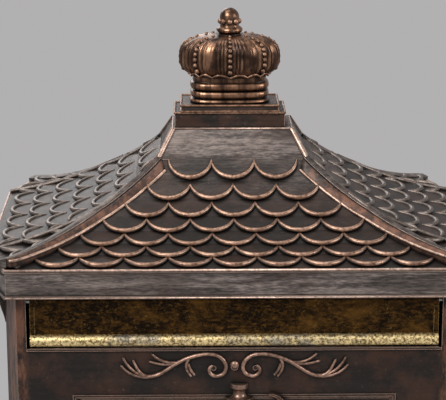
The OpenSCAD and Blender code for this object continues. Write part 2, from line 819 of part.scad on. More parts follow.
module side_panel() {
    flange_in = 6;
    leaf_at = 9;
    bracket_w = 12;
    x_front = body_front / 2 + panel_t * facet_shift;
    x_bay = body_w / 2;
    y_end = -front_back_y;
    y_bay = body_side / 2;
    ledge = x_bay - side_t + eps;
    color(bronze_light)
        difference() {
            union() {
                translate([0, 0, body_z])
                    linear_extrude(body_h)
                        polygon([[x_front, -y_end], [x_bay, -y_bay], [x_bay, y_bay], [x_front, y_end],
                            [x_front - side_t, y_end], [x_bay - side_t, y_bay],
                            [x_bay - side_t, -y_bay], [x_front - side_t, -y_end]]);
                for (sy = [-1, 1])
                    translate([body_front / 2 - side_t - flange_w, sy * y_end - (sy + 1) / 2 * side_t,
                        body_z + 1])
                        cube([flange_w + side_t, side_t, body_h - flange_low - 1]);
                for (z = [body_z, eave_z - side_t])
                    translate([ledge - flange_w - eps, -y_bay + flange_in, z])
                        cube([flange_w + eps, 2 * (y_bay - flange_in), side_t]);
                // Leaf brackets under the eave, one at each end of the bay
                for (sy = [-1, 1])
                    translate([x_bay - 1, sy * (y_bay - leaf_at), eave_z])
                        rotate([90, 0, 0])
                            translate([0, 0, -bracket_w / 2])
                                linear_extrude(bracket_w)
                                    leaf_bracket();
            }
            screw_points()
                rotate([90, 0, 0])
                    translate([0, 0, -body_d])
                        cylinder(h = 2 * body_d, d = screw_dia + 0.4);
            for (sy = [-1, 1])
                translate([flange_x, sy * flange_y, body_z - 1])
                    cylinder(h = body_h + 2, d = screw_dia + 0.4);
        }
}

module right_panel() {
    side_panel();
}

module left_panel() {
    mirror([1, 0, 0])
        side_panel();
}

module post_bolt_points() {
    for (sx = [-1, 1], sy = [-1, 1])
        translate([sx * bolt_pitch / 2, sy * bolt_pitch / 2, 0])
            children();
}

module floor_plate() {
    floor_step = 5;
    color(bronze)
        difference() {
            union() {
                translate([0, 0, floor_z])
                    linear_extrude(floor_t / 2)
                        body_shape(2 * floor_step);
                translate([0, 0, floor_z])
                    linear_extrude(floor_t)
                        body_shape(floor_step);
            }
            post_bolt_points()
                translate([0, 0, floor_z - 1])
                    cylinder(h = floor_t + 2, d = bolt_dia + hole_fit);
            translate([0, 0, floor_z - 1])
                cylinder(h = floor_t + 2, d = tie_dia + hole_fit);
            for (sx = [-1, 1], sy = [-1, 1])
                translate([sx * flange_x, sy * flange_y, body_z - screw_hold - 2])
                    cylinder(h = 6, d = screw_dia + seat_fit);
        }
}

module letter_flap() {
    lip = 9;
    color(brass)
        difference() {
            union() {
                translate([-flap_w / 2, rod_y - barrel_r, roll_z])
                    cube([flap_w, flap_t, rod_z - roll_z]);
                translate([-flap_w / 2, rod_y, rod_z])
                    rotate([0, 90, 0])
                        cylinder(h = flap_w, r = barrel_r);
                translate([-flap_w / 2, roll_y, roll_z])
                    rotate([0, 90, 0])
                        cylinder(h = flap_w, r = roll_r);
                for (sx = [-1, 1])
                    translate([sx * (flap_w / 2 - 2) - 2, rod_y - barrel_r - bead, roll_z])
                        cube([4, flap_t, rod_z - roll_z - barrel_r]);
            }
            translate([-flap_w, rod_y, rod_z])
                rotate([0, 90, 0])
                    cylinder(h = 2 * flap_w, d = flap_rod_dia + run_fit);
        }
}

module flap_rod() {
    color(steel)
        translate([-slot_w / 2 - lug_t, rod_y, rod_z])
            rotate([0, 90, 0])
                cylinder(h = slot_w + 2 * lug_t, d = flap_rod_dia);
}

module door() {
    left = hinge_x;
    right = door_w / 2 - door_gap;
    low = door_low + door_gap;
    high = door_top - door_gap;
    margin = door_bead_in;
    inner = door_bead_in + door_bead_w;
    color(bronze)
        difference() {
            union() {
                translate([left, door_y, low])
                    cube([right - left, door_t, high - low]);
                translate([left, hinge_y, low])
                    cylinder(h = high - low, r = hinge_r);
                facing(door_y + 1, 1 + bead)
                    difference() {
                        translate([left + margin, low + margin])
                            square([right - left - 2 * margin, high - low - 2 * margin]);
                        translate([left + inner, low + inner])
                            square([right - left - 2 * inner, high - low - 2 * inner]);
                    }
            }
            for (z = [low - eps, high - pin_engage])
                translate([hinge_x, hinge_y, z])
                    cylinder(h = pin_engage + eps, d = door_pin_dia + run_fit);
            translate([lock_x, door_y - 5, lock_z])
                rotate([-90, 0, 0])
                    cylinder(h = 12, d = lock_dia + 0.3);
            emblem_rivet_points()
                translate([0, door_y - 2, 0])
                    rotate([-90, 0, 0])
                        cylinder(h = 12, d = rivet_dia + seat_fit);
        }
}

module door_pins() {
    color(steel)
        for (z = [door_top - door_gap - pin_engage + 0.5, door_low - pin_in_lug])
            translate([hinge_x, hinge_y, z])
                cylinder(h = pin_engage + door_gap + pin_in_lug - 0.5, d = door_pin_dia);
}

emblem_z = door_low + door_h * 0.52;
emblem_rx = 46;
emblem_rz = 60;
emblem_t = 4;
emblem_rim = 6;
rivet_dia = 3;
rivet_rise = 0.66 * emblem_rz;
emblem_front = door_y - emblem_t;

// Crest over the medallion, a turned boss with a waist, cut flat at its back
crest_x = 4;
crest_drop = 94;
crest_h = 14.5;
crest_base_r = 12.2;
crest_rim_r = 7.8;
crest_waist_r = 5.6;
crest_waist_h = 7;
crest_cove_r = 4.74;
crest_back = front_y - bead - 0.4;
crest_in = 3;

module emblem_rivet_points() {
    for (sz = [-1, 1])
        translate([0, 0, emblem_z + sz * rivet_rise])
            children();
}

module oval_outline(inset) {
    polygon(soft_oval(emblem_rx - inset, emblem_rz - inset, 2, 56));
}

module crest() {
    intersection() {
        translate([crest_x, crest_back + crest_in, eave_z - crest_drop])
            rotate_extrude()
                difference() {
                    union() {
                        square([crest_base_r, crest_waist_h]);
                        square([crest_rim_r, crest_h]);
                    }
                    translate([crest_waist_r + crest_cove_r, crest_waist_h])
                        circle(r = crest_cove_r);
                }
        translate([crest_x - 2 * crest_base_r, crest_back - 2 * crest_base_r, 0])
            cube([4 * crest_base_r, 2 * crest_base_r, eave_z]);
    }
}

module door_emblem() {
    neck_w = 14;
    leaf_t = 4;
    color(copper)
        difference() {
            union() {
                facing(door_y, emblem_t)
                    translate([0, emblem_z])
                        oval_outline(0);
                facing(door_y, emblem_t + 2)
                    translate([0, emblem_z])
                        difference() {
                            oval_outline(0);
                            oval_outline(emblem_rim);
                        }
                crest();
                facing(crest_back, 3)
                    translate([crest_x - neck_w / 2, emblem_z + emblem_rz - 8])
                        square([neck_w, eave_z - crest_drop - emblem_z - emblem_rz + 9]);
                // Curled leaf at the right of the crest
                facing(crest_back, leaf_t)
                    translate([0, eave_z])
                        stroke([[29.2, -88.4], [44, -88.5], [47, -108], [26, -138]], point_w, 9);
            }
            emblem_rivet_points()
                translate([0, emblem_front - 4, 0])
                    rotate([-90, 0, 0])
                        cylinder(h = 12, d = rivet_dia + seat_fit);
        }
}

module emblem_rivets() {
    color(copper)
        emblem_rivet_points() {
            translate([0, emblem_front, 0])
                rotate([-90, 0, 0])
                    cylinder(h = emblem_t + door_t, d = rivet_dia);
            translate([0, emblem_front - 1.6, 0])
                rotate([-90, 0, 0])
                    cylinder(h = 1.6, d1 = rivet_dia, d2 = 2 * rivet_dia);
            translate([0, door_back, 0])
                rotate([-90, 0, 0])
                    cylinder(h = 1.4, d1 = 2 * rivet_dia, d2 = rivet_dia);
        }
}

lock_face = 2.5;
cam_t = 2;
cam_y = front_y + rim_t + 0.3;
lock_nut_t = 2.2;
plug_tip = 6;
cam_screw_d = 3;
cam_screw_h = 5;

module lock_body() {
    color(steel)
        translate([lock_x, 0, lock_z])
            rotate([-90, 0, 0])
                difference() {
                    union() {
                        translate([0, 0, door_y - lock_face])
                            cylinder(h = lock_face, d = lock_dia + 5);
                        translate([0, 0, door_y - eps])
                            cylinder(h = cam_y - 0.3 - door_y + eps, d = lock_dia);
                    }
                    translate([0, 0, door_y - lock_face - 1])
                        cylinder(h = cam_y - door_y + lock_face + 2, d = plug_dia + run_fit);
                }
}

module lock_nut() {
    color(steel)
        translate([lock_x, 0, lock_z])
            rotate([-90, 0, 0])
                translate([0, 0, door_back])
                    difference() {
                        cylinder(h = lock_nut_t, d = lock_dia + 8, $fn = 6);
                        translate([0, 0, -eps])
                            cylinder(h = lock_nut_t + 1, d = lock_dia + 0.1);
                    }
}

module lock_plug() {
    key_w = 1.8;
    key_h = 7;
    key_deep = 9;
    color(steel)
        translate([lock_x, 0, lock_z])
            difference() {
                rotate([-90, 0, 0])
                    union() {
                        translate([0, 0, door_y - lock_face])
                            cylinder(h = cam_y - door_y + lock_face, d = plug_dia);
                        translate([0, 0, cam_y - eps])
                            cylinder(h = cam_t + eps, d = plug_tip);
                    }
                translate([-key_w / 2, door_y - lock_face - 1, -key_h / 2])
                    cube([key_w, key_deep, key_h]);
                translate([0, cam_y + cam_t - cam_screw_h - 1, 0])
                    rotate([-90, 0, 0])
                        cylinder(h = cam_screw_h + 3, d = cam_screw_d);
            }
}

module lock_cam() {
    reach = door_w / 2 - lock_x + 6;
    cam_w = 13;
    color(steel)
        translate([lock_x, 0, lock_z])
            rotate([-90, 90, 0])
                translate([0, 0, cam_y])
                    difference() {
                        union() {
                            cylinder(h = cam_t, d = cam_w);
                            translate([0, -cam_w / 2, 0])
                                cube([reach, cam_w, cam_t]);
                        }
                        translate([0, 0, -eps])
                            cylinder(h = cam_t + 2 * eps, d = plug_tip + seat_fit);
                    }
}

module lock_screw() {
    color(steel)
        translate([lock_x, cam_y + cam_t, lock_z]) {
            rotate([-90, 0, 0])
                cylinder(h = 2, d = 8);
            rotate([90, 0, 0])
                cylinder(h = cam_screw_h, d = cam_screw_d);
        }
}

// A pan-head screw that points up, its head's seat at the origin
module case_screw() {
    head_h = 2.4;
    cylinder(h = side_t + screw_hold - 0.2, d = screw_dia);
    translate([0, 0, -head_h])
        cylinder(h = head_h, d = 2 * screw_dia);
}

module case_screws() {
    seat_y = front_back_y + side_t;
    color(steel) {
        screw_points() {
            translate([0, seat_y, 0])
                rotate([90, 0, 0])
                    case_screw();
            translate([0, -seat_y, 0])
                rotate([-90, 0, 0])
                    case_screw();
        }
        for (sx = [-1, 1], sy = [-1, 1])
            translate([sx * flange_x, sy * flange_y, 0]) {
                translate([0, 0, eave_z - side_t])
                    case_screw();
                translate([0, 0, body_z + side_t])
                    rotate([180, 0, 0])
                        case_screw();
            }
    }
}

post_nut_t = 6.5;
capital_top_t = 10;

module post_bolts() {
    color(steel)
        post_bolt_points() {
            translate([0, 0, floor_z - capital_top_t - post_nut_t - 3])
                cylinder(h = body_z - floor_z + capital_top_t + post_nut_t + 3, d = bolt_dia);
            translate([0, 0, body_z])
                cylinder(h = 5.3, d = 1.85 * bolt_dia, $fn = 6);
        }
}

module post_nuts() {
    color(steel)
        post_bolt_points()
            translate([0, 0, floor_z - capital_top_t - post_nut_t])
                hex_nut(bolt_dia, post_nut_t);
}

module post_capital() {
    neck_r = column_r + 3;
    cove_r = 24;
    color(bronze)
        difference() {
            union() {
                translate([-capital_w / 2, -capital_w / 2, floor_z - capital_top_t])
                    cube([capital_w, capital_w, capital_top_t]);
                rotate_extrude()
                    translate([0, capital_z])
                        difference() {
                            union() {
                                square([neck_r + 4, 8]);
                                square([neck_r, capital_h - capital_top_t + 1]);
                                translate([0, capital_h - capital_top_t - cove_r])
                                    square([neck_r + cove_r, cove_r + 1]);
                            }
                            translate([neck_r + cove_r, capital_h - capital_top_t - cove_r - 3])
                                circle(r = cove_r);
                        }
                translate([0, 0, capital_z - spigot_h])
                    cylinder(h = spigot_h + 1, r = column_r - column_wall - spigot_gap);
            }
            translate([0, 0, capital_z - spigot_h - 1])
                cylinder(h = capital_h + spigot_h + 2, d = tie_dia + hole_fit);
            translate([0, 0, capital_z - spigot_h - 1])
                cylinder(h = capital_h + spigot_h - 2 * capital_top_t + 1, r = column_r - column_wall - 6);
            post_bolt_points()
                translate([0, 0, floor_z - capital_top_t - 1])
                    cylinder(h = capital_top_t + 2, d = bolt_dia + hole_fit);
        }
}

module post_column() {
    flute_r = 5;
    length = capital_z - column_z;
    plain = 24;
    color(bronze)
        translate([0, 0, column_z])
            difference() {
                cylinder(h = length, r = column_r, $fn = 64);
                translate([0, 0, -1])
                    cylinder(h = length + 2, r = column_r - column_wall);
                for (i = [0:flutes - 1])
                    rotate([0, 0, 360 / flutes * i])
                        translate([column_r + 1.5, 0, plain])
                            cylinder(h = length - 2 * plain, r = flute_r);
            }
}

// The moulded base's swept curve, from its foot at 0 to its neck at 1
base_foot_r = step_half - 6;
base_foot_h = 12;
base_wall = 7;
base_web = 10;
base_neck_r = column_r + 4;
base_steps = 16;
function base_r(s) = base_neck_r + (base_foot_r - 7 - base_neck_r) * pow(cos(90 * s), 2);
function base_curve(inset, low, high) = [for (i = [0:base_steps])
    [base_r(i / base_steps) - inset, low + (high - low) * i / base_steps]];

module post_base() {
    curve_z = plinth_h + base_foot_h;
    color(bronze)
        difference() {
            union() {
                rotate_extrude($fn = 72)
                    difference() {
                        polygon(concat([[0, plinth_h], [base_foot_r, plinth_h], [base_foot_r, curve_z]],
                            base_curve(0, curve_z, column_z), [[0, column_z]]));
                        polygon(concat([[0, plinth_h - 1], [base_foot_r - base_wall, plinth_h - 1]],
                            base_curve(base_wall, curve_z - 4, column_z - base_web),
                            [[0, column_z - base_web]]));
                    }
                rotate_extrude($fn = 72)
                    translate([base_neck_r - 2, column_z - 7])
                        circle(r = 5);
                translate([0, 0, column_z - 1])
                    cylinder(h = spigot_h, r = column_r - column_wall - spigot_gap);
            }
            translate([0, 0, column_z - 2 * base_web])
                cylinder(h = 2 * base_web + spigot_h, d = tie_dia + hole_fit);
        }
}

module ground_plinth() {
    flange_t = 12;
    ledge_t = 6;
    wall = 8;
    color(bronze)
        difference() {
            union() {
                translate([-plinth_w / 2, -plinth_w / 2, 0])
                    cube([plinth_w, plinth_w, flange_t]);
                translate([-ledge_half, -ledge_half, 0])
                    cube([2 * ledge_half, 2 * ledge_half, flange_t + ledge_t]);
                translate([-step_half, -step_half, 0])
                    cube([2 * step_half, 2 * step_half, plinth_h]);
            }
            translate([-step_half + wall, -step_half + wall, -1])
                cube([2 * (step_half - wall), 2 * (step_half - wall), plinth_h - web_t + 1]);
            translate([0, 0, -1])
                cylinder(h = plinth_h + 2, d = tie_dia + hole_fit);
            for (sx = [-1, 1], sy = [-1, 1])
                translate([sx * anchor_at, sy * anchor_at, -1])
                    cylinder(h = flange_t + 2, d = anchor_dia);
        }
}

tie_washer_t = 2.5;
tie_nut_t = 10;
tie_low = plinth_h - web_t - tie_washer_t - tie_nut_t - 4;
tie_high = body_z + tie_washer_t + tie_nut_t + 4;

module tie_rod() {
    color(steel)
        translate([0, 0, tie_low])
            cylinder(h = tie_high - tie_low, d = tie_dia);
}

module tie_washers() {
    color(steel)
        for (z = [plinth_h - web_t - tie_washer_t, body_z])
            translate([0, 0, z])
                flat_washer(tie_dia, tie_washer_t);
}

module tie_nuts() {
    color(steel)
        for (z = [plinth_h - web_t - tie_washer_t - tie_nut_t, body_z + tie_washer_t])
            translate([0, 0, z])
                hex_nut(tie_dia, tie_nut_t);
}

crown_finial();
finial_plinth();
finial_stud();
finial_washer();
finial_nut();
roof();
front_panel();
left_panel();
right_panel();
back_panel();
floor_plate();
letter_flap();
flap_rod();
door();
door_pins();
door_emblem();
emblem_rivets();
lock_body();
lock_plug();
lock_cam();
lock_nut();
lock_screw();
case_screws();
post_bolts();
post_nuts();
post_capital();
post_column();
post_base();
ground_plinth();
tie_rod();
tie_washers();
tie_nuts();
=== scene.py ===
# Looks of the post-mounted letter box: dark bronze paint rubbed back to copper on
# its raised edges, a mottled brass flap, and the fine carving that the castings carry.
import math

import bmesh
import bpy
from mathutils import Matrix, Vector

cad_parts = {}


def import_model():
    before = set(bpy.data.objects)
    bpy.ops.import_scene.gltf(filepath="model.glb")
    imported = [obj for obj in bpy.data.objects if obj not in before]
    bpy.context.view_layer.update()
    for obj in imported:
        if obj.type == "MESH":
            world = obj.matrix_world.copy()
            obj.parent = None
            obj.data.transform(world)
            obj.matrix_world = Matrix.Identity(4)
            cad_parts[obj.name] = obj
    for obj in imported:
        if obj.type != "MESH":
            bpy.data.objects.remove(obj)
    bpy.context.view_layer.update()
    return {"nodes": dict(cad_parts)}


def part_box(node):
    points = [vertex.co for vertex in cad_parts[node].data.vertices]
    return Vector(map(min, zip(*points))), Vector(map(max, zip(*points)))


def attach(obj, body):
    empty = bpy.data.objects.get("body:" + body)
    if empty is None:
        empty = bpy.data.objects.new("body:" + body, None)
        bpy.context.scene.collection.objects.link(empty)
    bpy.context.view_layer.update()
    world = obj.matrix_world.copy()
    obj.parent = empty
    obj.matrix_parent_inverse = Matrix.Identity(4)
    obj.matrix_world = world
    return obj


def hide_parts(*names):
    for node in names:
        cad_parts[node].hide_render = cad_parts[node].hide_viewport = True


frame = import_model()

MM = 0.001

# Places in metres: the eave's underside, the front's face, the top of the fascia, the kink
# under the collar, the collar's top, and the foot of the crown.
EAVE_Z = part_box("front_panel")[1][2]
FRONT_Y = -127 * MM
FASCIA_TOP = EAVE_Z + 25 * MM
KINK_Z = EAVE_Z + 93 * MM
COLLAR_TOP = EAVE_Z + 115 * MM
CROWN_X = -2 * MM
CROWN_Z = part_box("crown_finial")[0][2]

# Half sizes of the roof in mm: the eave, the kink where the hips start, the collar's top, and
# the ends of the corner facets along the front and the side eaves.
ROOF_X, ROOF_Y = 205.0, 141.0
HIP_X, HIP_Y = 63.0, 40.0
COLLAR_X, COLLAR_Y = 51.0, 23.0
FRONT_X, SIDE_Y = 187.0, 93.0
# Share of the way down a hip at which its facet starts.
FACET_START = 0.36
# The slopes sag on one arc, from steep at the kink to flat at the eave.
BEND = math.radians(20)
DROP = (KINK_Z - FASCIA_TOP) / MM
CHORD = math.atan2(DROP, ROOF_Y - HIP_Y)
STEEP, FLAT = CHORD + BEND, CHORD - BEND


class Shader:
    """A material's node tree, with short calls for the nodes that the finishes share."""

    def __init__(self, name):
        self.material = bpy.data.materials.new(name)
        self.material.use_nodes = True
        self.tree = self.material.node_tree
        self.tree.nodes.clear()
        self.out = self.add("ShaderNodeOutputMaterial")
        self.surface = self.add("ShaderNodeBsdfPrincipled")
        self.surface.inputs["Specular IOR Level"].default_value = 0.35
        self.link(self.surface.outputs["BSDF"], self.out.inputs["Surface"])
        self.place = self.add("ShaderNodeTexCoord").outputs["Object"]

    def add(self, kind, **settings):
        made = self.tree.nodes.new(kind)
        for key, value in settings.items():
            setattr(made, key, value)
        return made

    def link(self, source, target):
        self.tree.links.new(source, target)

    def put(self, target, value):
        if isinstance(value, bpy.types.NodeSocket):
            self.link(value, target)
        else:
            target.default_value = value

    def part(self, vector, axis):
        made = self.add("ShaderNodeSeparateXYZ")
        self.link(vector, made.inputs[0])
        return made.outputs[axis]

    def height(self):
        """Height over the ground in metres."""
        return self.part(self.place, "Z")

    def aside(self, axis):
        """Distance from the middle plane in metres, either way along the axis."""
        return self.math("ABSOLUTE", self.part(self.place, axis))

    def normal(self, axis):
        return self.part(self.add("ShaderNodeNewGeometry").outputs["Normal"], axis)

    def noise(self, scale, detail=4.0, stretch=(1, 1, 1), rough=0.55, warp=0.0):
        mapping = self.add("ShaderNodeMapping")
        self.link(self.place, mapping.inputs["Vector"])
        mapping.inputs["Scale"].default_value = stretch
        made = self.add("ShaderNodeTexNoise")
        self.link(mapping.outputs["Vector"], made.inputs["Vector"])
        made.inputs["Scale"].default_value = scale
        made.inputs["Detail"].default_value = detail
        made.inputs["Roughness"].default_value = rough
        made.inputs["Distortion"].default_value = warp
        return made.outputs["Fac"]

    def ramp(self, value, low, high):
        made = self.add("ShaderNodeMapRange", interpolation_type="SMOOTHSTEP")
        self.put(made.inputs["Value"], value)
        made.inputs["From Min"].default_value = low
        made.inputs["From Max"].default_value = high
        return made.outputs["Result"]

    def between(self, value, low, high, blur):
        """1 from the low value to the high one, with soft ends."""
        return self.times(self.ramp(value, low - blur, low + blur),
                          self.ramp(value, high + blur, high - blur))

    def span(self, value, low, high):
        made = self.add("ShaderNodeMapRange")
        self.put(made.inputs["Value"], value)
        made.inputs["To Min"].default_value = low
        made.inputs["To Max"].default_value = high
        return made.outputs["Result"]

    def math(self, operation, a, b=0.0):
        """The result, kept from 0 to 1."""
        made = self.add("ShaderNodeMath", operation=operation, use_clamp=True)
        self.put(made.inputs[0], a)
        self.put(made.inputs[1], b)
        return made.outputs[0]

    def times(self, *values):
        product = values[0]
        for value in values[1:]:
            product = self.math("MULTIPLY", product, value)
        return product

    def mix(self, share, a, b):
        made = self.add("ShaderNodeMix", data_type="RGBA")
        self.put(made.inputs[0], share)
        for socket, value in ((made.inputs[6], a), (made.inputs[7], b)):
            linked = isinstance(value, bpy.types.NodeSocket)
            self.put(socket, value if linked else (*value, 1.0))
        return made.outputs[2]

    def edges(self, radius):
        """How sharply the surface turns within the radius, 0 on a flat face."""
        bevel = self.add("ShaderNodeBevel", samples=6)
        bevel.inputs["Radius"].default_value = radius
        geometry = self.add("ShaderNodeNewGeometry")
        dot = self.add("ShaderNodeVectorMath", operation="DOT_PRODUCT")
        self.link(bevel.outputs["Normal"], dot.inputs[0])
        self.link(geometry.outputs["Normal"], dot.inputs[1])
        return self.math("SUBTRACT", 1.0, dot.outputs["Value"])

    def openness(self, distance):
        """1 in the open, towards 0 in a corner or a groove."""
        made = self.add("ShaderNodeAmbientOcclusion", samples=8)
        made.inputs["Distance"].default_value = distance
        return made.outputs["AO"]

    def bump(self, height, strength, distance):
        made = self.add("ShaderNodeBump")
        made.inputs["Strength"].default_value = strength
        made.inputs["Distance"].default_value = distance
        self.link(height, made.inputs["Height"])
        self.link(made.outputs["Normal"], self.surface.inputs["Normal"])

    def finish(self, colour, metallic, roughness):
        self.put(self.surface.inputs["Base Color"], colour)
        self.put(self.surface.inputs["Metallic"], metallic)
        self.put(self.surface.inputs["Roughness"], roughness)
        return self.material


# Near black of painted shade, laid in grooves, corners and crevices.
PAINTED_SHADE_BLACK = (0.006, 0.005, 0.0045)
BLACK_BRONZE = (0.013, 0.0105, 0.009)
RED_BROWN = (0.05, 0.023, 0.015)
RUBBED_RED = (0.16, 0.072, 0.043)
GREY_BRONZE = (0.12, 0.1, 0.092)
PALE_BRONZE = (0.31, 0.25, 0.222)
COPPER = (0.6, 0.36, 0.25)
PALE_COPPER = (0.84, 0.62, 0.5)


def worn_edges(s, radius, low, high, reach):
    """Rubbed edges: sharp turns in the open, broken up by a coarse noise."""
    worn = s.times(s.ramp(s.edges(radius), low, high), s.ramp(s.openness(reach), 0.5, 0.9))
    return s.times(worn, s.ramp(s.noise(70.0, 4.0), 0.22, 0.5))


def brushed(s, colour, veil):
    """Pale paint dragged along the piece, in streaks, over the dark coat. Laid thick on the fascia
    and the collar, it is partly a painted reflection, and on the hips' tops partly a painted
    highlight.
    """
    streaks = s.noise(46.0, 5.0, (0.22, 0.22, 6.0), 0.6)
    grain = s.noise(620.0, 4.0, (0.22, 0.22, 1.6), 0.7)
    both = s.math("ADD", s.times(streaks, 0.42), s.times(grain, 0.58))
    pale = s.mix(s.ramp(both, 0.4, 0.62), GREY_BRONZE, PALE_BRONZE)
    laid = s.span(s.ramp(s.noise(16.0, 4.0, (0.7, 0.7, 3.6), 0.6, 0.9), 0.4, 0.6), 0.38, 1.0)
    cover = s.times(s.span(s.ramp(both, 0.34, 0.58), 0.45, 1.0), laid, veil)
    return s.mix(cover, colour, pale)


def bronze(name, rub, veil, reddish, bands=(), red_bands=()):
    """Dark bronze paint. Rub is how much copper shows on its edges, and reddish how much of it
    has red patches. The bands, each a low and a high end, a blur and a share, carry the pale
    brushed coat, and the veil is how much of that lies elsewhere. Where that coat lies thick, on
    the fascia, the collar and the rows under it it is partly a painted reflection, and on the
    hips' tops partly a painted highlight. The red bands, each an axis and two distances from the
    middle plane with a blur, are rubbed red."""
    s = Shader(name)
    patches = s.times(s.ramp(s.noise(24.0, 8.0, rough=0.68), 0.42, 0.64), reddish)
    fine = s.noise(330.0, 6.0, rough=0.72)
    colour = s.mix(patches, BLACK_BRONZE, RED_BROWN)
    for axis, low, high, blur in red_bands:
        inside = s.between(s.aside(axis), low, high, blur)
        streaked = s.ramp(s.noise(80.0, 6.0, (1.4, 1.4, 0.4), 0.7), 0.4, 0.6)
        colour = s.mix(s.times(inside, streaked), colour, RUBBED_RED)
    cover = veil
    height = s.height()
    for low, high, blur, share in bands:
        inside = s.between(height, low, high, blur)
        cover = s.math("MAXIMUM", s.times(inside, share), cover)
    colour = brushed(s, colour, cover)
    worn = s.times(worn_edges(s, 1.4 * MM, 0.02, 0.22, 4 * MM), rub)
    specks = s.times(s.ramp(fine, 0.6, 0.74), 0.22 * rub)
    shown = s.math("ADD", worn, specks)
    colour = s.mix(shown, colour, s.mix(fine, COPPER, PALE_COPPER))
    # Painted shadow: near black in corners and grooves, and on the field just under the scales'
    # rims.
    colour = s.mix(s.ramp(s.openness(8 * MM), 0.95, 0.45), colour, PAINTED_SHADE_BLACK)
    grit = s.math("ADD", s.times(fine, 0.6), s.times(s.noise(900.0, 3.0), 0.4))
    s.bump(grit, 0.4, 0.25 * MM)
    return s.finish(colour, s.span(shown, 0.35, 0.9), s.span(s.noise(120.0, 5.0), 0.4, 0.6))


def rubbed_copper(name, bright, drag):
    """Raised ornament: copper on its crests, dark paint left in its hollows, and painted shade deep
    in its grooves. On the crown the copper's upward streaks are partly painted highlights.
    """
    stretch, drag_scale, least = drag
    s = Shader(name)
    fine = s.noise(380.0, 6.0, rough=0.7)
    cloudy = s.noise(60.0, 5.0)
    # Streaks in the copper, on the crown running upwards: partly wear, partly painted highlights
    # along the ribs.
    dragged = s.span(s.ramp(s.noise(drag_scale, 4.0, stretch, 0.6), 0.4, 0.6), least, 1.0)
    crest = s.times(s.ramp(s.openness(2.2 * MM), 0.72, 1.0), s.ramp(cloudy, 0.28, 0.62), dragged)
    colour = s.mix(crest, (0.03, 0.016, 0.011), bright)
    worn = s.times(s.ramp(s.edges(1.0 * MM), 0.02, 0.16), s.ramp(fine, 0.34, 0.6))
    colour = s.mix(s.times(worn, 0.9), colour, (0.85, 0.56, 0.38))
    # Painted shade: near black deep in the grooves.
    colour = s.mix(s.ramp(s.openness(4.5 * MM), 0.88, 0.42), colour, PAINTED_SHADE_BLACK)
    s.bump(fine, 0.3, 0.12 * MM)
    return s.finish(colour, s.span(crest, 0.75, 0.95), s.span(cloudy, 0.24, 0.42))


def bead_copper(name, dark, bright, side_glare):
    """Rolled rims, beads and strands, rubbed bright, with painted shade on their undersides and in
    their crevices. The last argument is how much of a painted grey reflection they get where they
    face sideways."""
    s = Shader(name)
    fine = s.noise(300.0, 6.0, rough=0.7)
    broad = s.noise(45.0, 4.0)
    colour = s.mix(s.ramp(fine, 0.28, 0.62), dark, bright)
    colour = s.mix(s.times(s.ramp(broad, 0.62, 0.4), 0.5), colour, dark)
    # Painted reflection: greyer where they face sideways, like the glare on the side slopes.
    sideways = s.ramp(s.math("ABSOLUTE", s.normal("X")), 0.3, 0.75)
    colour = s.mix(s.times(sideways, side_glare), colour, (0.13, 0.108, 0.096))
    # Painted shade: darker on their undersides.
    underside_shade = s.ramp(s.math("MULTIPLY", s.normal("Z"), -1.0), 0.1, 0.8)
    colour = s.mix(s.times(underside_shade, 0.75), colour, (0.05, 0.028, 0.02))
    # Painted shade: near black in the crevices where they meet the casting.
    colour = s.mix(s.ramp(s.openness(3 * MM), 0.55, 0.12), colour, (0.02, 0.014, 0.011))
    s.bump(fine, 0.3, 0.15 * MM)
    return s.finish(colour, 0.75, s.span(fine, 0.32, 0.5))


def brass(lip_top):
    """Old brass: a dark mottled field over a bright, worn lip."""
    s = Shader("antique_brass")
    mottled = s.noise(30.0, 9.0, (1.0, 1.0, 1.5), 0.72, 0.3)
    speckled = s.noise(460.0, 6.0, rough=0.72)
    dragged = s.noise(420.0, 5.0, (0.5, 1.0, 1.0), 0.75)
    field = s.mix(s.ramp(mottled, 0.44, 0.74), (0.01, 0.005, 0.0015), (0.15, 0.07, 0.013))
    field = s.mix(s.times(s.ramp(dragged, 0.46, 0.66), 0.5), field, (0.2, 0.09, 0.016))
    field = s.mix(s.times(s.ramp(speckled, 0.56, 0.72), 0.5), field, (0.42, 0.25, 0.07))
    lip = s.mix(s.ramp(speckled, 0.38, 0.58), (0.13, 0.08, 0.026), (1.0, 0.78, 0.39))
    dull = s.mix(s.ramp(speckled, 0.4, 0.62), (0.12, 0.1, 0.075), (0.5, 0.44, 0.33))
    lip = s.mix(s.ramp(s.noise(26.0, 5.0), 0.52, 0.66), lip, dull)
    colour = s.mix(s.ramp(s.height(), lip_top + 0.6 * MM, lip_top - 0.4 * MM), field, lip)
    worn = s.times(s.ramp(s.edges(1.2 * MM), 0.05, 0.3), s.ramp(speckled, 0.35, 0.6))
    colour = s.mix(s.times(worn, 0.7), colour, (0.8, 0.56, 0.24))
    # Painted shade: near black in the flap's crevices.
    colour = s.mix(s.ramp(s.openness(5 * MM), 0.6, 0.15), colour, (0.01, 0.006, 0.002))
    s.bump(s.math("ADD", s.times(mottled, 0.5), s.times(speckled, 0.5)), 0.5, 0.3 * MM)
    return s.finish(colour, 0.8, s.span(speckled, 0.34, 0.52))


def zinc():
    """Plated steel of the fasteners and the lock."""
    s = Shader("zinc_steel")
    cloudy = s.noise(150.0, 5.0)
    colour = s.mix(cloudy, (0.3, 0.3, 0.29), (0.62, 0.61, 0.58))
    s.bump(s.noise(1400.0, 2.0), 0.2, 0.1 * MM)
    return s.finish(colour, 1.0, s.span(cloudy, 0.3, 0.5))


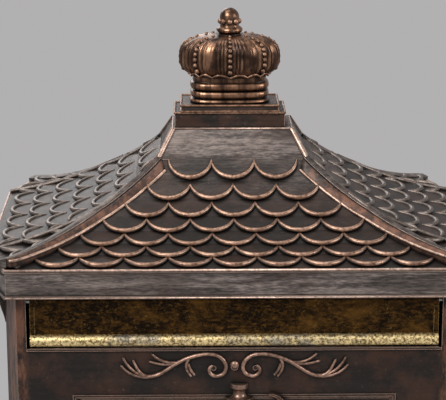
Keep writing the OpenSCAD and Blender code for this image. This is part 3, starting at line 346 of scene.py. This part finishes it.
# Bands of pale coat by height: low end, high end, blur and share.
# On the fascia, the collar and the upper rows, the pale coat is partly a painted reflection.
FASCIA = (EAVE_Z - 2 * MM, FASCIA_TOP, 0.6 * MM, 1.0)
COLLAR = (KINK_Z - 2 * MM, COLLAR_TOP + 5 * MM, 3 * MM, 0.8)
UPPER_ROWS = (KINK_Z - 26 * MM, KINK_Z + 8 * MM, 16 * MM, 0.34)
HIP_TOP = (FASCIA_TOP + 50 * MM, COLLAR_TOP, 12 * MM, 0.4)

# Bands rubbed red: axis, the two distances from the middle plane, and blur.
CORNERS = ("Y", 96 * MM, 128 * MM, 8 * MM)
STILES = ("X", 173 * MM, 200 * MM, 3 * MM)
ALL_OVER = ("Y", -MM, 1.0, 0.1 * MM)

# How the copper's rub is dragged: stretch and scale of its noise, and its least share.
# The crown's upward streaks are partly rub and partly painted highlights along its ribs.
UPWARD_RUB_AND_HIGHLIGHTS = ((1.0, 1.0, 0.09), 260.0, 0.25)
CLOUDY = ((1.0, 1.0, 1.0), 90.0, 0.5)

FINISHES = {
    "roof": bronze("roof_bronze", rub=0.75, veil=0.05, reddish=0.6,
                   bands=(FASCIA, COLLAR, UPPER_ROWS)),
    "case": bronze("case_bronze", rub=0.8, veil=0.03, reddish=1.0, red_bands=(STILES,)),
    "side": bronze("side_bronze", rub=0.8, veil=0.03, reddish=0.8, red_bands=(CORNERS,)),
    "post": bronze("post_bronze", rub=1.8, veil=0.14, reddish=0.9),
    "plinth": bronze("plinth_bronze", rub=1.6, veil=0.16, reddish=2.2),
    # The hips' tops: a thick pale coat, partly a painted highlight on their upward faces.
    "hip": bronze("hip_bronze_painted_highlight", rub=0.5, veil=0.5, reddish=1.0),
    "wall": bronze("wall_bronze", rub=0.6, veil=0.08, reddish=2.0,
                   bands=(HIP_TOP,), red_bands=(ALL_OVER,)),
    "copper": rubbed_copper("copper_bronze", (0.42, 0.225, 0.135), UPWARD_RUB_AND_HIGHLIGHTS),
    "emblem": rubbed_copper("emblem_bronze", (0.42, 0.265, 0.2), CLOUDY),
    "brass": brass(lip_top=EAVE_Z - 37 * MM),
    "steel": zinc(),
}
PAINTED = {
    "roof": ("roof",),
    "case": ("back_panel", "front_panel", "door"),
    "side": ("left_panel", "right_panel"),
    "post": ("floor_plate", "post_capital", "post_column", "post_base", "ground_plinth"),
    "plinth": ("finial_plinth",),
    "copper": ("crown_finial",),
    "emblem": ("door_emblem", "emblem_rivets"),
    "brass": ("letter_flap",),
}

finish_of = {node: FINISHES[key] for key, nodes in PAINTED.items() for node in nodes}
for name, cad_node in frame["nodes"].items():
    for held in cad_node.material_slots:
        held.material = finish_of.get(name, FINISHES["steel"])

RIM = bead_copper("rim_copper", (0.11, 0.055, 0.034), (0.52, 0.325, 0.23), 0.8)
BEAD = bead_copper("pearl_copper", (0.06, 0.032, 0.021), (0.42, 0.24, 0.155), 0.0)
SCROLL_COPPER = bead_copper("scroll_copper", (0.08, 0.043, 0.03), (0.52, 0.32, 0.24), 0.0)
# Greyer, duller copper for the side slopes' rims and the hips' beads: a painted grey reflection of
# the glare on the side slopes.
SIDE_RIM_PAINTED_GLARE = bead_copper("side_copper_painted_glare", (0.08, 0.06, 0.05), (0.27, 0.22, 0.19), 0.5)
BAND = bead_copper("band_copper", (0.14, 0.08, 0.056), (0.62, 0.42, 0.32), 0.1)
LINE = bead_copper("line_copper", (0.22, 0.14, 0.11), (0.72, 0.52, 0.42), 0.2)


def add_piece(name, data, material):
    """A piece of the case, with its material."""
    piece = bpy.data.objects.new(name, data)
    bpy.context.collection.objects.link(piece)
    data.materials.append(material)
    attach(piece, "case")
    return piece


def strands(name, paths, material, sides=2):
    """Round strands, each a list of (point, radius), as one piece."""
    data = bpy.data.curves.new(name, "CURVE")
    data.dimensions = "3D"
    data.bevel_depth = 1.0
    data.bevel_resolution = sides
    data.use_fill_caps = True
    for path in paths:
        spline = data.splines.new("POLY")
        spline.points.add(len(path) - 1)
        for made, (point, radius) in zip(spline.points, path):
            made.co = (*point, 1.0)
            made.radius = radius
    add_piece(name, data, material)


def add_mesh(name, mesh, material):
    data = bpy.data.meshes.new(name)
    mesh.normal_update()
    mesh.to_mesh(data)
    mesh.free()
    for face in data.polygons:
        face.use_smooth = True
    return add_piece(name, data, material)


def join_rings(mesh, rings):
    """Faces between closed rings of points, one ring after another."""
    count = len(rings[0])
    for low, high in zip(rings, rings[1:]):
        for at in range(count):
            after = (at + 1) % count
            mesh.faces.new((low[at], low[after], high[after], high[at]))


def closed_form(mesh, rows):
    """A closed form through rows of points, each row a ring."""
    rings = [[mesh.verts.new(point) for point in row] for row in rows]
    join_rings(mesh, rings)
    mesh.faces.new(list(reversed(rings[0])))
    mesh.faces.new(rings[-1])


def sharp_chains(node, low, high, turn, least_up):
    """Links and places of the node's outer edges that turn by more than the angle, between two
    heights, where one of the two faces looks up by at least so much."""
    mesh = bmesh.new()
    mesh.from_mesh(frame["nodes"][node].data)
    bmesh.ops.remove_doubles(mesh, verts=mesh.verts, dist=0.002 * MM)
    mesh.normal_update()
    links = {}
    for edge in mesh.edges:
        a, b = edge.verts
        inside = low < min(a.co.z, b.co.z) and max(a.co.z, b.co.z) < high
        if len(edge.link_faces) != 2 or not inside:
            continue
        upwards = max(face.normal.z for face in edge.link_faces)
        if edge.calc_face_angle_signed(0) > turn and upwards > least_up:
            links.setdefault(a.index, []).append(b.index)
            links.setdefault(b.index, []).append(a.index)
    places = {v.index: v.co.copy() for v in mesh.verts}
    mesh.free()
    return links, places


def split_chains(links, places, corner):
    """Paths of places through the links, cut where they branch or turn by more than the corner."""
    def bends(at):
        near = links[at]
        if len(near) != 2:
            return True
        one, two = (places[n] - places[at] for n in near)
        return one.angle(two, math.pi) < math.pi - corner

    used = set()
    paths = []
    for start in sorted(links):
        if not bends(start):
            continue
        for step in links[start]:
            if (start, step) in used:
                continue
            path = [start, step]
            used.update(((start, step), (step, start)))
            while not bends(path[-1]):
                onward = [n for n in links[path[-1]] if n != path[-2]]
                used.update(((path[-1], onward[0]), (onward[0], path[-1])))
                path.append(onward[0])
            paths.append([places[n] for n in path])
    return paths


def length_of(path):
    return sum((b - a).length for a, b in zip(path, path[1:]))


# An edge gets a rim where it turns by more than this, and the rim is cut where it bends by more
# than the corner, on the scales and on the block under the crown.
EDGE_TURN = math.radians(50)
SCALE_CORNER, BLOCK_CORNER = math.radians(48), math.radians(30)
SHORTEST_RIM = 5 * MM
# The scales' edges come in short steps, and the hips' edges in long ones.
LONGEST_STEP = 4.5 * MM
# Radius of a rim's ends in mm, and how much it swells in the middle.
FRONT_SWELL, SIDE_SWELL = (0.6, 1.5), (0.7, 1.4)


def on_side_slope(point):
    across = (abs(point.x) / MM - HIP_X) / (ROOF_X - HIP_X)
    return across > (abs(point.y) / MM - HIP_Y) / (ROOF_Y - HIP_Y)


def roof_rims():
    """Rolled rims on the scales' lower edges, thin at their ends, greyer on the side slopes by a
    painted reflection of the glare there.
    """
    links, places = sharp_chains(
        "roof", FASCIA_TOP + 0.6 * MM, KINK_Z + 1.5 * MM, EDGE_TURN, least_up=0.3)
    fronts, sides = [], []
    for path in split_chains(links, places, SCALE_CORNER):
        whole = length_of(path)
        if whole < SHORTEST_RIM or whole / (len(path) - 1) > LONGEST_STEP:
            continue
        sideways = on_side_slope(path[len(path) // 2])
        thin, swollen = SIDE_SWELL if sideways else FRONT_SWELL
        made, gone = [], 0.0
        for at, point in enumerate(path):
            if at:
                gone += (point - path[at - 1]).length
            swell = math.sin(math.pi * min(1.0, gone / whole)) ** 0.5
            made.append((point, (thin + swollen * swell) * MM))
        (sides if sideways else fronts).append(made)
    strands("scale_rims", fronts, RIM)
    strands("side_rims", sides, SIDE_RIM_PAINTED_GLARE)


HIP_STEPS = 32
# Sections over a hip in mm: distance towards the front, and height over the slope.
TOP_FORM = ((-7.0, -5.0), (-7.0, 2.3), (-6.4, 2.9), (-3.0, 3.1), (0.0, 3.3), (3.2, 3.4),
            (3.6, -5.0))
WALL_FORM = ((3.0, -5.0), (3.0, 3.0), (4.8, 3.1), (6.7, 2.8), (8.0, 2.1), (9.2, 1.4), (9.8, 0.8),
             (9.8, -5.0))
# Edge beads as distance, height and radius, and the bead at the wall's foot.
EDGE_BEADS = ((-6.6, 2.3, 0.7), (2.8, 3.1, 0.6))
FOOT_BEAD = (9.5, 1.2, 1.4)
# The hips rise over the slopes from this share of the way down, by so much at the eave.
RISE_START, FRONT_RISE, BACK_RISE = 0.32, 8.0, 1.5
# The facet's ridge begins at this share of the way down.
RIDGE_START = 0.3
# The front part gets narrower by this share, and the back part follows the slope less.
NARROWING, BACK_FALL = 0.4, 0.45


def slope(share):
    """Share of the run, height in mm over the eave and steepness, along the roof's curve."""
    at = STEEP - 2 * BEND * share
    run = (math.sin(STEEP) - math.sin(at)) / (math.sin(STEEP) - math.sin(FLAT))
    drop = (math.cos(at) - math.cos(STEEP)) / (math.cos(FLAT) - math.cos(STEEP))
    return run, (KINK_Z - EAVE_Z) / MM - DROP * drop, math.tan(at)


def along_hip(run, end):
    """Plan point and direction at a share of the run, on the hip and then towards the end."""
    start = Vector((HIP_X, HIP_Y))
    whole = Vector((ROOF_X, ROOF_Y)) - start
    apex = start + whole * FACET_START
    if run < FACET_START:
        return start + whole * run, whole.normalized()
    way = Vector(end) - apex
    return apex + way * ((run - FACET_START) / (1 - FACET_START)), way.normalized()


def hip_stations(end, first=0.0):
    """Places down a hip: point, direction, height, and how fast the slope falls beside it."""
    made = []
    for at in range(HIP_STEPS + 1):
        run, height, steep = slope(first + (1 - first) * at / HIP_STEPS)
        point, way = along_hip(run, end)
        made.append((point, way, height, steep * way.x))
    return made


def corners(point):
    """A point in mm in the four quarters, in metres: right front, right back, left front,
    left back."""
    x, y, z = point
    return [Vector((sx * x * MM, sy * y * MM, EAVE_Z + z * MM)) for sx in (1, -1) for sy in (-1, 1)]


def on_hip(station, across, lift, rise):
    """A point beside the hip, over the slope there, towards the front where across is positive.
    It rises from the slope towards the eave, by the rise at the end."""
    point, way, height, fall = station
    down = max(0.0, (point.y - HIP_Y) / (ROOF_Y - HIP_Y) - RISE_START) / (1 - RISE_START)
    moved = across * (1 - NARROWING * down ** 2) if across > 0 else across
    x, y = point.x - way.y * moved, point.y + way.x * moved
    share = 1.0 if across > 0 else BACK_FALL
    if lift > 0:
        lift += rise * down * (0.8 + 0.2 * min(1.0, across / 6))
    return min(x, ROOF_X - 0.5), min(y, ROOF_Y - 0.3), height + lift - abs(across) * fall * share


def hip_lines(stations, across, lift):
    """One line beside each of the four hips, those at the front rising more."""
    front, back = ([corners(on_hip(station, across, lift, rise)) for station in stations]
                   for rise in (FRONT_RISE, BACK_RISE))
    return [[point[quarter] for point in (front, back)[quarter % 2]] for quarter in range(4)]


def hip_sweep(name, form, stations, material):
    """A closed section carried down the four hips."""
    mesh = bmesh.new()
    lines = [hip_lines(stations, across, lift) for across, lift in form]
    for quarter in range(4):
        rings = [[mesh.verts.new(line[quarter][at]) for line in lines]
                 for at in range(len(stations))]
        join_rings(mesh, rings)
        mesh.faces.new(rings[0])
        mesh.faces.new(rings[-1])
    bmesh.ops.recalc_face_normals(mesh, faces=mesh.faces)
    add_mesh(name, mesh, material)


def hip_bands():
    """Bands over the roof's hips: a grey top, its paleness partly a painted highlight, a brown wall
    towards the front, and beads along the edges, the wall's foot and the ridges of the corner
    facets."""
    stations = hip_stations((FRONT_X, ROOF_Y))
    hip_sweep("hip_tops", TOP_FORM, stations, FINISHES["hip"])
    hip_sweep("hip_walls", WALL_FORM, stations, FINISHES["wall"])

    def beads(across, lift, radius):
        lines = hip_lines(stations, across, lift)
        return [[(point, radius * MM) for point in line] for line in lines]

    edges = [line for bead in EDGE_BEADS for line in beads(*bead)]
    ridge = [corners((point.x, point.y, height + 2.2))
             for point, _, height, _ in hip_stations((ROOF_X, SIDE_Y), RIDGE_START)]
    edges += [[(point[quarter], 1.6 * MM) for point in ridge] for quarter in range(4)]
    strands("hip_beads", edges, SIDE_RIM_PAINTED_GLARE)
    strands("hip_feet", beads(*FOOT_BEAD), BAND)


# Radii of the rubbed lines in mm: down the collar's corners, round its top, on the fascia's upper
# and lower edges and on the block under the crown, and of the painted highlight line on the panel
# under the flap.
CORNER_R, TOP_R, FASCIA_R, EAVE_R, BLOCK_R, SILL_R = 2.3, 0.95, 1.25, 0.8, 1.05, 0.6
SILL_Z, SILL_X = EAVE_Z - 48.4 * MM, 170 * MM


def collar_edges():
    """Bright lines down the collar's corners, round its top, and round the fascia's edges."""
    collar_h = (COLLAR_TOP - EAVE_Z) / MM
    kink_h = (KINK_Z - EAVE_Z) / MM
    upper = corners((COLLAR_X + 0.2, COLLAR_Y + 0.2, collar_h - 1.6))
    lower = corners((HIP_X + 0.4, HIP_Y + 0.4, kink_h - 0.4))
    lines = [[(end, CORNER_R * MM) for end in ends] for ends in zip(upper, lower)]

    right_front, right_back, left_front, left_back = corners(
        (COLLAR_X + 0.6, COLLAR_Y + 0.6, collar_h - 0.8))
    lines.append([(point, TOP_R * MM) for point in
                  (right_front, right_back, left_back, left_front, right_front)])

    out = 1.0
    half = [(FRONT_X, -ROOF_Y - out), (ROOF_X + out, -SIDE_Y), (ROOF_X + out, SIDE_Y),
            (FRONT_X, ROOF_Y + out)]
    eave = half + [(-x, y) for x, y in reversed(half)] + half[:1]
    for height, radius in ((FASCIA_TOP - 0.6 * MM, FASCIA_R), (EAVE_Z + 0.9 * MM, EAVE_R)):
        lines.append([(Vector((x * MM, y * MM, height)), radius * MM) for x, y in eave])
    strands("edge_lines", lines, LINE)


def bezier(guides, share):
    """A point on the curve of four guide points."""
    a, b, c, d = guides
    rest = 1 - share
    return [rest ** 3 * p + 3 * share * rest ** 2 * q + 3 * share ** 2 * rest * r + share ** 3 * t
            for p, q, r, t in zip(a, b, c, d)]


# Widths of the scroll's strokes in mm, the height of the dot between its halves, and the left
# half's strokes: four guide points as x and height under the eave, and the widths of both ends.
POINT_W, LEAF_W, STEM_W = 1.2, 2.2, 2.8
DOT_Z, DOT_R = -63.0, 3.6
STROKE_STEPS = 16
SCROLL = (
    ((-84.3, -58.4), (-81.1, -66.1), (-78.7, -71.9), (-72, -72.9), POINT_W, STEM_W),
    ((-72, -72.9), (-61.2, -72.9), (-54.5, -64.4), (-45.3, -59.7), STEM_W, STEM_W),
    ((-45.3, -59.7), (-38.6, -56.2), (-30.3, -53.4), (-22, -53.3), STEM_W, STEM_W),
    ((-22, -53.3), (-5.3, -52.8), (-2, -71.9), (-15, -72.8), STEM_W, STEM_W),
    ((-15, -72.8), (-21.2, -73), (-23.3, -64.6), (-18.2, -63.8), STEM_W, LEAF_W),
    ((-94.4, -63), (-90.3, -69), (-82.9, -73.7), (-72, -73.4), POINT_W, LEAF_W),
    ((-92.6, -56.2), (-89.7, -63), (-84.5, -69.1), (-76.2, -72.3), POINT_W, LEAF_W),
    ((-68.2, -53.2), (-63.6, -58.2), (-56.9, -61.4), (-49, -60.7), POINT_W, LEAF_W),
    ((-70.6, -59.5), (-64.4, -61.7), (-55.3, -63.9), (-46.1, -60.4), POINT_W, LEAF_W),
    ((-38, -57.6), (-42, -61.8), (-40.3, -68.1), (-36.2, -72.5), LEAF_W, POINT_W),
    ((-38.6, -62), (-37.4, -66.4), (-35.6, -69), (-33.4, -71.5), LEAF_W, POINT_W),
)


def plinth_edges():
    """Rubbed edges of the block and the slab under the crown, and a painted highlight along the top
    edge of the panel under the flap.
    """
    links, places = sharp_chains(
        "finial_plinth", COLLAR_TOP + 0.5 * MM, CROWN_Z + MM, EDGE_TURN, least_up=-1.0)
    edges = [[(point, BLOCK_R * MM) for point in path]
             for path in split_chains(links, places, BLOCK_CORNER)
             if length_of(path) > SHORTEST_RIM]
    strands("plinth_edges", edges, BEAD)
    # Painted highlight: a bright strand along the top edge of the panel under the flap.
    sill = [(Vector((x, FRONT_Y - 0.1 * MM, SILL_Z)), SILL_R * MM) for x in (-SILL_X, SILL_X)]
    strands("sill_highlight_line", [sill], LINE)


def scroll():
    """The scroll's strands, rounded over the flat strokes of the casting."""
    paths = []
    for *guides, from_w, to_w in SCROLL:
        for side in (1, -1):
            path = []
            for at in range(STROKE_STEPS + 1):
                share = at / STROKE_STEPS
                x, z = bezier(guides, share)
                width = from_w + (to_w - from_w) * share
                path.append((Vector((side * x * MM, FRONT_Y - 1.45 * MM, EAVE_Z + z * MM)),
                             (0.5 * width + 0.28) * MM))
            paths.append(path)
    strands("scroll_strands", paths, SCROLL_COPPER, sides=3)
    mesh = bmesh.new()
    bmesh.ops.create_uvsphere(mesh, u_segments=24, v_segments=12, radius=DOT_R * MM)
    bmesh.ops.scale(mesh, vec=(1.0, 0.7, 1.0), verts=mesh.verts)
    bmesh.ops.translate(mesh, vec=(0, FRONT_Y - 1.2 * MM, EAVE_Z + DOT_Z * MM), verts=mesh.verts)
    add_mesh("scroll_dot", mesh, SCROLL_COPPER)


# The crown's heights in mm over its foot: how far its lower curve reaches under its widest
# place, where the bulb leaves the neck, its widest place and its top.
BULB_LOW, WAIST, WIDEST, BULB_TOP = 19.2, 24.0, 38.0, 59.0
# Half widths and depths of the bulb and the neck in mm.
BULB_W, BULB_D, NECK_W, NECK_D = 43.0, 25.8, 32.5, 17.5
BULB_ROWS, BULB_SIDES = 33, 360
# The neck's profile under and over its two rolls: height, and growth past the neck's size.
NECK_FOOT = ((0, 1.3), (0.8, 1.9), (2.2, 2.0), (3.4, 1.4), (4.1, 0.2), (4.5, -1.4))
NECK_TOP = ((18.7, -1.2), (20.0, -0.4), (22.0, -0.9), (25.5, 0.6))
# The knob's profile up to its dome: radius and height.
KNOB = ((10.0, 56.0), (9.6, 59.2), (9.3, 60.4), (10.6, 61.0), (11.3, 62.2), (11.3, 63.4),
        (10.4, 64.6), (8.9, 65.2), (8.2, 66.2), (8.1, 67.6), (8.3, 70.0), (8.4, 72.6), (8.4, 73.4))

# Beads: rows up the bulb, beads in a row, their radius at the foot, how much it shrinks, and how
# deep they sit. The ring round the knob: its beads, radius and height. All but counts in mm.
BEAD_ROWS, ROW_BEADS, BEAD_R, BEAD_TAPER, BEAD_SINK = 8, 9, 2.5, 1.2, 0.9
KNOB_BEADS, RING_R, RING_Z = 9, 8.0, 70.2
# The hem at the bulb's foot: half width, half depth, height, arches and their rise, thickness.
HEM_W, HEM_D, HEM_Z = NECK_W + 2.8, NECK_D + 4.4, 24.0
HEM_ARCHES, HEM_RISE, HEM_R = 16, 2.4, 0.9


def around(count):
    return [2 * math.pi * k / count for k in range(count)]


def oval(half_w, half_d, power, turn):
    c, s = math.cos(turn), math.sin(turn)
    return (half_w * math.copysign(abs(c) ** (2 / power), c),
            half_d * math.copysign(abs(s) ** (2 / power), s))


def bulb_height(share, top):
    return WAIST + (top - WAIST) * math.sin(math.pi / 2 * share)


def bulb_share(height):
    """Share of the bulb's widest size at a height."""
    if height > WIDEST:
        return max(0.0, 1 - ((height - WIDEST) / (BULB_TOP - WIDEST)) ** 3) ** (1 / 3)
    return (1 - ((WIDEST - height) / BULB_LOW) ** 2.5) ** (1 / 2.5)


def bulb_ribs(turn):
    """Carving round the bulb in mm: fine ribs beside the bead rows, a wide lobe between."""
    angle = math.degrees(turn) % 90
    angle = min(angle, 90 - angle)

    def bump(place, width):
        return math.exp(-((angle - place) / width) ** 2)

    depth = -2.4 * bump(0, 2.8) - 2.4 * bump(45, 2.8)
    for place, size in ((5.6, 1.3), (9.6, 1.4), (13.8, 1.4), (37.2, 1.5)):
        depth += size * bump(place, 1.15)
    for place in (7.6, 11.7, 16.6, 34.2, 39.8):
        depth -= 1.7 * bump(place, 0.95)
    return depth + bump(25.5, 6.0) * (1.5 + 0.3 * math.cos(math.radians(angle) * 90))


def crown_bulb(mesh):
    rows = []
    for at in range(BULB_ROWS + 1):
        height = bulb_height(at / BULB_ROWS, BULB_TOP - 0.3)
        size = bulb_share(height)
        inside = min(1, max(0, (height - WAIST) / (BULB_TOP - WAIST)))
        fade = math.sin(math.pi * inside) ** 0.45
        row = []
        for turn in around(BULB_SIDES):
            grown = size * (1 + bulb_ribs(turn) * fade / BULB_W)
            row.append((BULB_W * grown * math.cos(turn), BULB_D * grown * math.sin(turn), height))
        rows.append(row)
    closed_form(mesh, rows)


def neck_roll(middle, half_h, out):
    turns = [math.pi * k / 10 for k in range(1, 10)]
    return [(middle - half_h * math.cos(a), -1.4 + out * math.sin(a) ** 0.8) for a in turns]


def crown_neck(mesh):
    profile = [*NECK_FOOT, *neck_roll(7.9, 3.2, 3.0), (11.2, -1.6), (11.8, -1.6),
               *neck_roll(15.2, 3.3, 3.1), *NECK_TOP]
    closed_form(mesh, [[(*oval(NECK_W + grow, NECK_D + grow, 3.2, turn), height)
                        for turn in around(128)] for height, grow in profile])


def crown_knob(mesh):
    radius, foot = KNOB[-1]
    rises = [math.pi / 2 * k / 8 for k in range(1, 8)]
    dome = [(radius * math.cos(a), foot + 8.2 * math.sin(a)) for a in rises]
    closed_form(mesh, [[(r * math.cos(turn), r * math.sin(turn), height) for turn in around(48)]
                       for r, height in (*KNOB, *dome, (0.4, 81.6))])


def crown_beads(mesh):
    """Eight rows of beads up the bulb, and a ring of them round the knob."""
    def ball(x, y, z, radius):
        made = bmesh.ops.create_uvsphere(mesh, u_segments=14, v_segments=9, radius=radius)
        bmesh.ops.translate(mesh, verts=made["verts"], vec=(x, y, z))

    for turn in around(BEAD_ROWS):
        for bead in range(ROW_BEADS):
            share = (bead + 1) / (ROW_BEADS + 1.4)
            height = bulb_height(share, BULB_TOP)
            size = bulb_share(height) * (1 - BEAD_SINK / BULB_W)
            ball(BULB_W * size * math.cos(turn), BULB_D * size * math.sin(turn), height,
                 BEAD_R - BEAD_TAPER * share)
    for turn in around(KNOB_BEADS):
        ball(RING_R * math.sin(turn), -RING_R * math.cos(turn), RING_Z, BEAD_R)


def crown():
    """The crown: a ribbed bulb with bead rows, two rolled neck rings and a beaded knob."""
    form, beads = bmesh.new(), bmesh.new()
    crown_bulb(form)
    crown_neck(form)
    crown_knob(form)
    crown_beads(beads)
    for mesh in (form, beads):
        bmesh.ops.scale(mesh, vec=(MM, MM, MM), verts=mesh.verts)
        bmesh.ops.translate(mesh, vec=(CROWN_X, 0, CROWN_Z), verts=mesh.verts)
    add_mesh("crown_beads", beads, BEAD)
    piece = add_mesh("crown", form, FINISHES["copper"])
    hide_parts("crown_finial")

    hem = []
    for turn in (*around(256), 2 * math.pi):
        x, y = oval(HEM_W, HEM_D, 2.3, turn)
        rise = abs(math.sin(turn * HEM_ARCHES / 2))
        point = Vector((CROWN_X + x * MM, y * MM, CROWN_Z + (HEM_Z + HEM_RISE * rise) * MM))
        hem.append((point, (HEM_R + 0.5 * rise) * MM))
    strands("crown_hem", [hem], BEAD)


# The camera, fitted to the roof's corners: its focal length, the picture's width and the rows
# of its axis and of the picture's middle in pixels, its tilts in radians, its place in metres.
FOCAL_PX, FRAME_PX, AXIS_ROW, MIDDLE_ROW = 1796.4, 446.0, 191.9, 200.0
PITCH, YAW = 0.2713, 0.0154
CAMERA_PLACE = (-0.0312, -1.531, EAVE_Z + 0.4769)


def camera():
    data = bpy.data.cameras.new("camera")
    data.sensor_width = 36.0
    data.lens = FOCAL_PX / FRAME_PX * data.sensor_width
    data.shift_y = (AXIS_ROW - MIDDLE_ROW) / FRAME_PX
    data.clip_start = 0.05
    data.clip_end = 60.0
    made = bpy.data.objects.new("camera", data)
    made.location = CAMERA_PLACE
    made.rotation_euler = (math.pi / 2 - PITCH, 0, -YAW)
    bpy.context.collection.objects.link(made)
    bpy.context.scene.camera = made


# The backdrop's grey, the world's light, and the lamps: name, place, size in metres, watts.
GREY = 0.445
BACKDROP = (GREY, GREY * 0.98, GREY * 0.99, 1)
WORLD_LIGHT, WORLD_STRENGTH = (1, 0.965, 0.93, 1), 0.31
LAMPS = (
    ("key", (-1.5, -2.2, 3.2), 1.3, 82.0),
    ("fill", (2.6, -1.2, 2.3), 1.4, 48.0),
    ("top", (-0.7, 0.1, 3.3), 1.6, 26.0),
    ("back", (-0.8, 2.6, 2.2), 1.6, 24.0),
)
LIT_POINT = Vector((0, 0, 0.9))
# Distances from the post between which the floor fades into the backdrop, in metres.
FADE_FROM, FADE_TO = 0.7, 1.8


def seen_directly(tree):
    """1 for rays from the camera, and for those that metal or glass sends on."""
    path = tree.nodes.new("ShaderNodeLightPath")
    share = path.outputs["Is Camera Ray"]
    for kind in ("Is Glossy Ray", "Is Transmission Ray"):
        most = tree.nodes.new("ShaderNodeMath")
        most.operation = "MAXIMUM"
        tree.links.new(share, most.inputs[0])
        tree.links.new(path.outputs[kind], most.inputs[1])
        share = most.outputs[0]
    return share


def world():
    """An even light, in front of a plain grey backdrop."""
    made = bpy.data.worlds.new("studio")
    bpy.context.scene.world = made
    made.use_nodes = True
    tree = made.node_tree
    tree.nodes.clear()
    out = tree.nodes.new("ShaderNodeOutputWorld")
    seen = tree.nodes.new("ShaderNodeBackground")
    seen.inputs["Color"].default_value = BACKDROP
    light = tree.nodes.new("ShaderNodeBackground")
    light.inputs["Color"].default_value = WORLD_LIGHT
    light.inputs["Strength"].default_value = WORLD_STRENGTH
    mix = tree.nodes.new("ShaderNodeMixShader")
    tree.links.new(seen_directly(tree), mix.inputs[0])
    tree.links.new(light.outputs[0], mix.inputs[1])
    tree.links.new(seen.outputs[0], mix.inputs[2])
    tree.links.new(mix.outputs[0], out.inputs["Surface"])


def floor():
    """A pale floor that fades into the backdrop."""
    bpy.ops.mesh.primitive_circle_add(
        vertices=96, radius=9.0, fill_type="NGON", location=(0, 0, -0.5 * MM))
    made = bpy.context.object
    made.name = "floor"
    s = Shader("floor")
    s.finish((0.5, 0.49, 0.495, 1), 0.0, 0.9)
    away = s.add("ShaderNodeVectorMath", operation="LENGTH")
    s.link(s.place, away.inputs[0])
    far = s.times(s.ramp(away.outputs["Value"], FADE_FROM, FADE_TO), seen_directly(s.tree))
    flat = s.add("ShaderNodeEmission")
    flat.inputs["Color"].default_value = BACKDROP
    mixed = s.add("ShaderNodeMixShader")
    s.link(far, mixed.inputs[0])
    s.link(s.surface.outputs[0], mixed.inputs[1])
    s.link(flat.outputs[0], mixed.inputs[2])
    s.link(mixed.outputs[0], s.out.inputs["Surface"])
    made.data.materials.append(s.material)


def lamps():
    for name, place, size, power in LAMPS:
        data = bpy.data.lights.new(name, "AREA")
        data.size = size
        data.energy = power
        lamp = bpy.data.objects.new(name, data)
        lamp.location = place
        lamp.rotation_euler = (LIT_POINT - Vector(place)).to_track_quat("-Z", "Y").to_euler()
        bpy.context.collection.objects.link(lamp)


roof_rims()
hip_bands()
collar_edges()
plinth_edges()
scroll()
crown()
camera()
world()
floor()
lamps()
bpy.context.scene.view_settings.view_transform = "Standard"
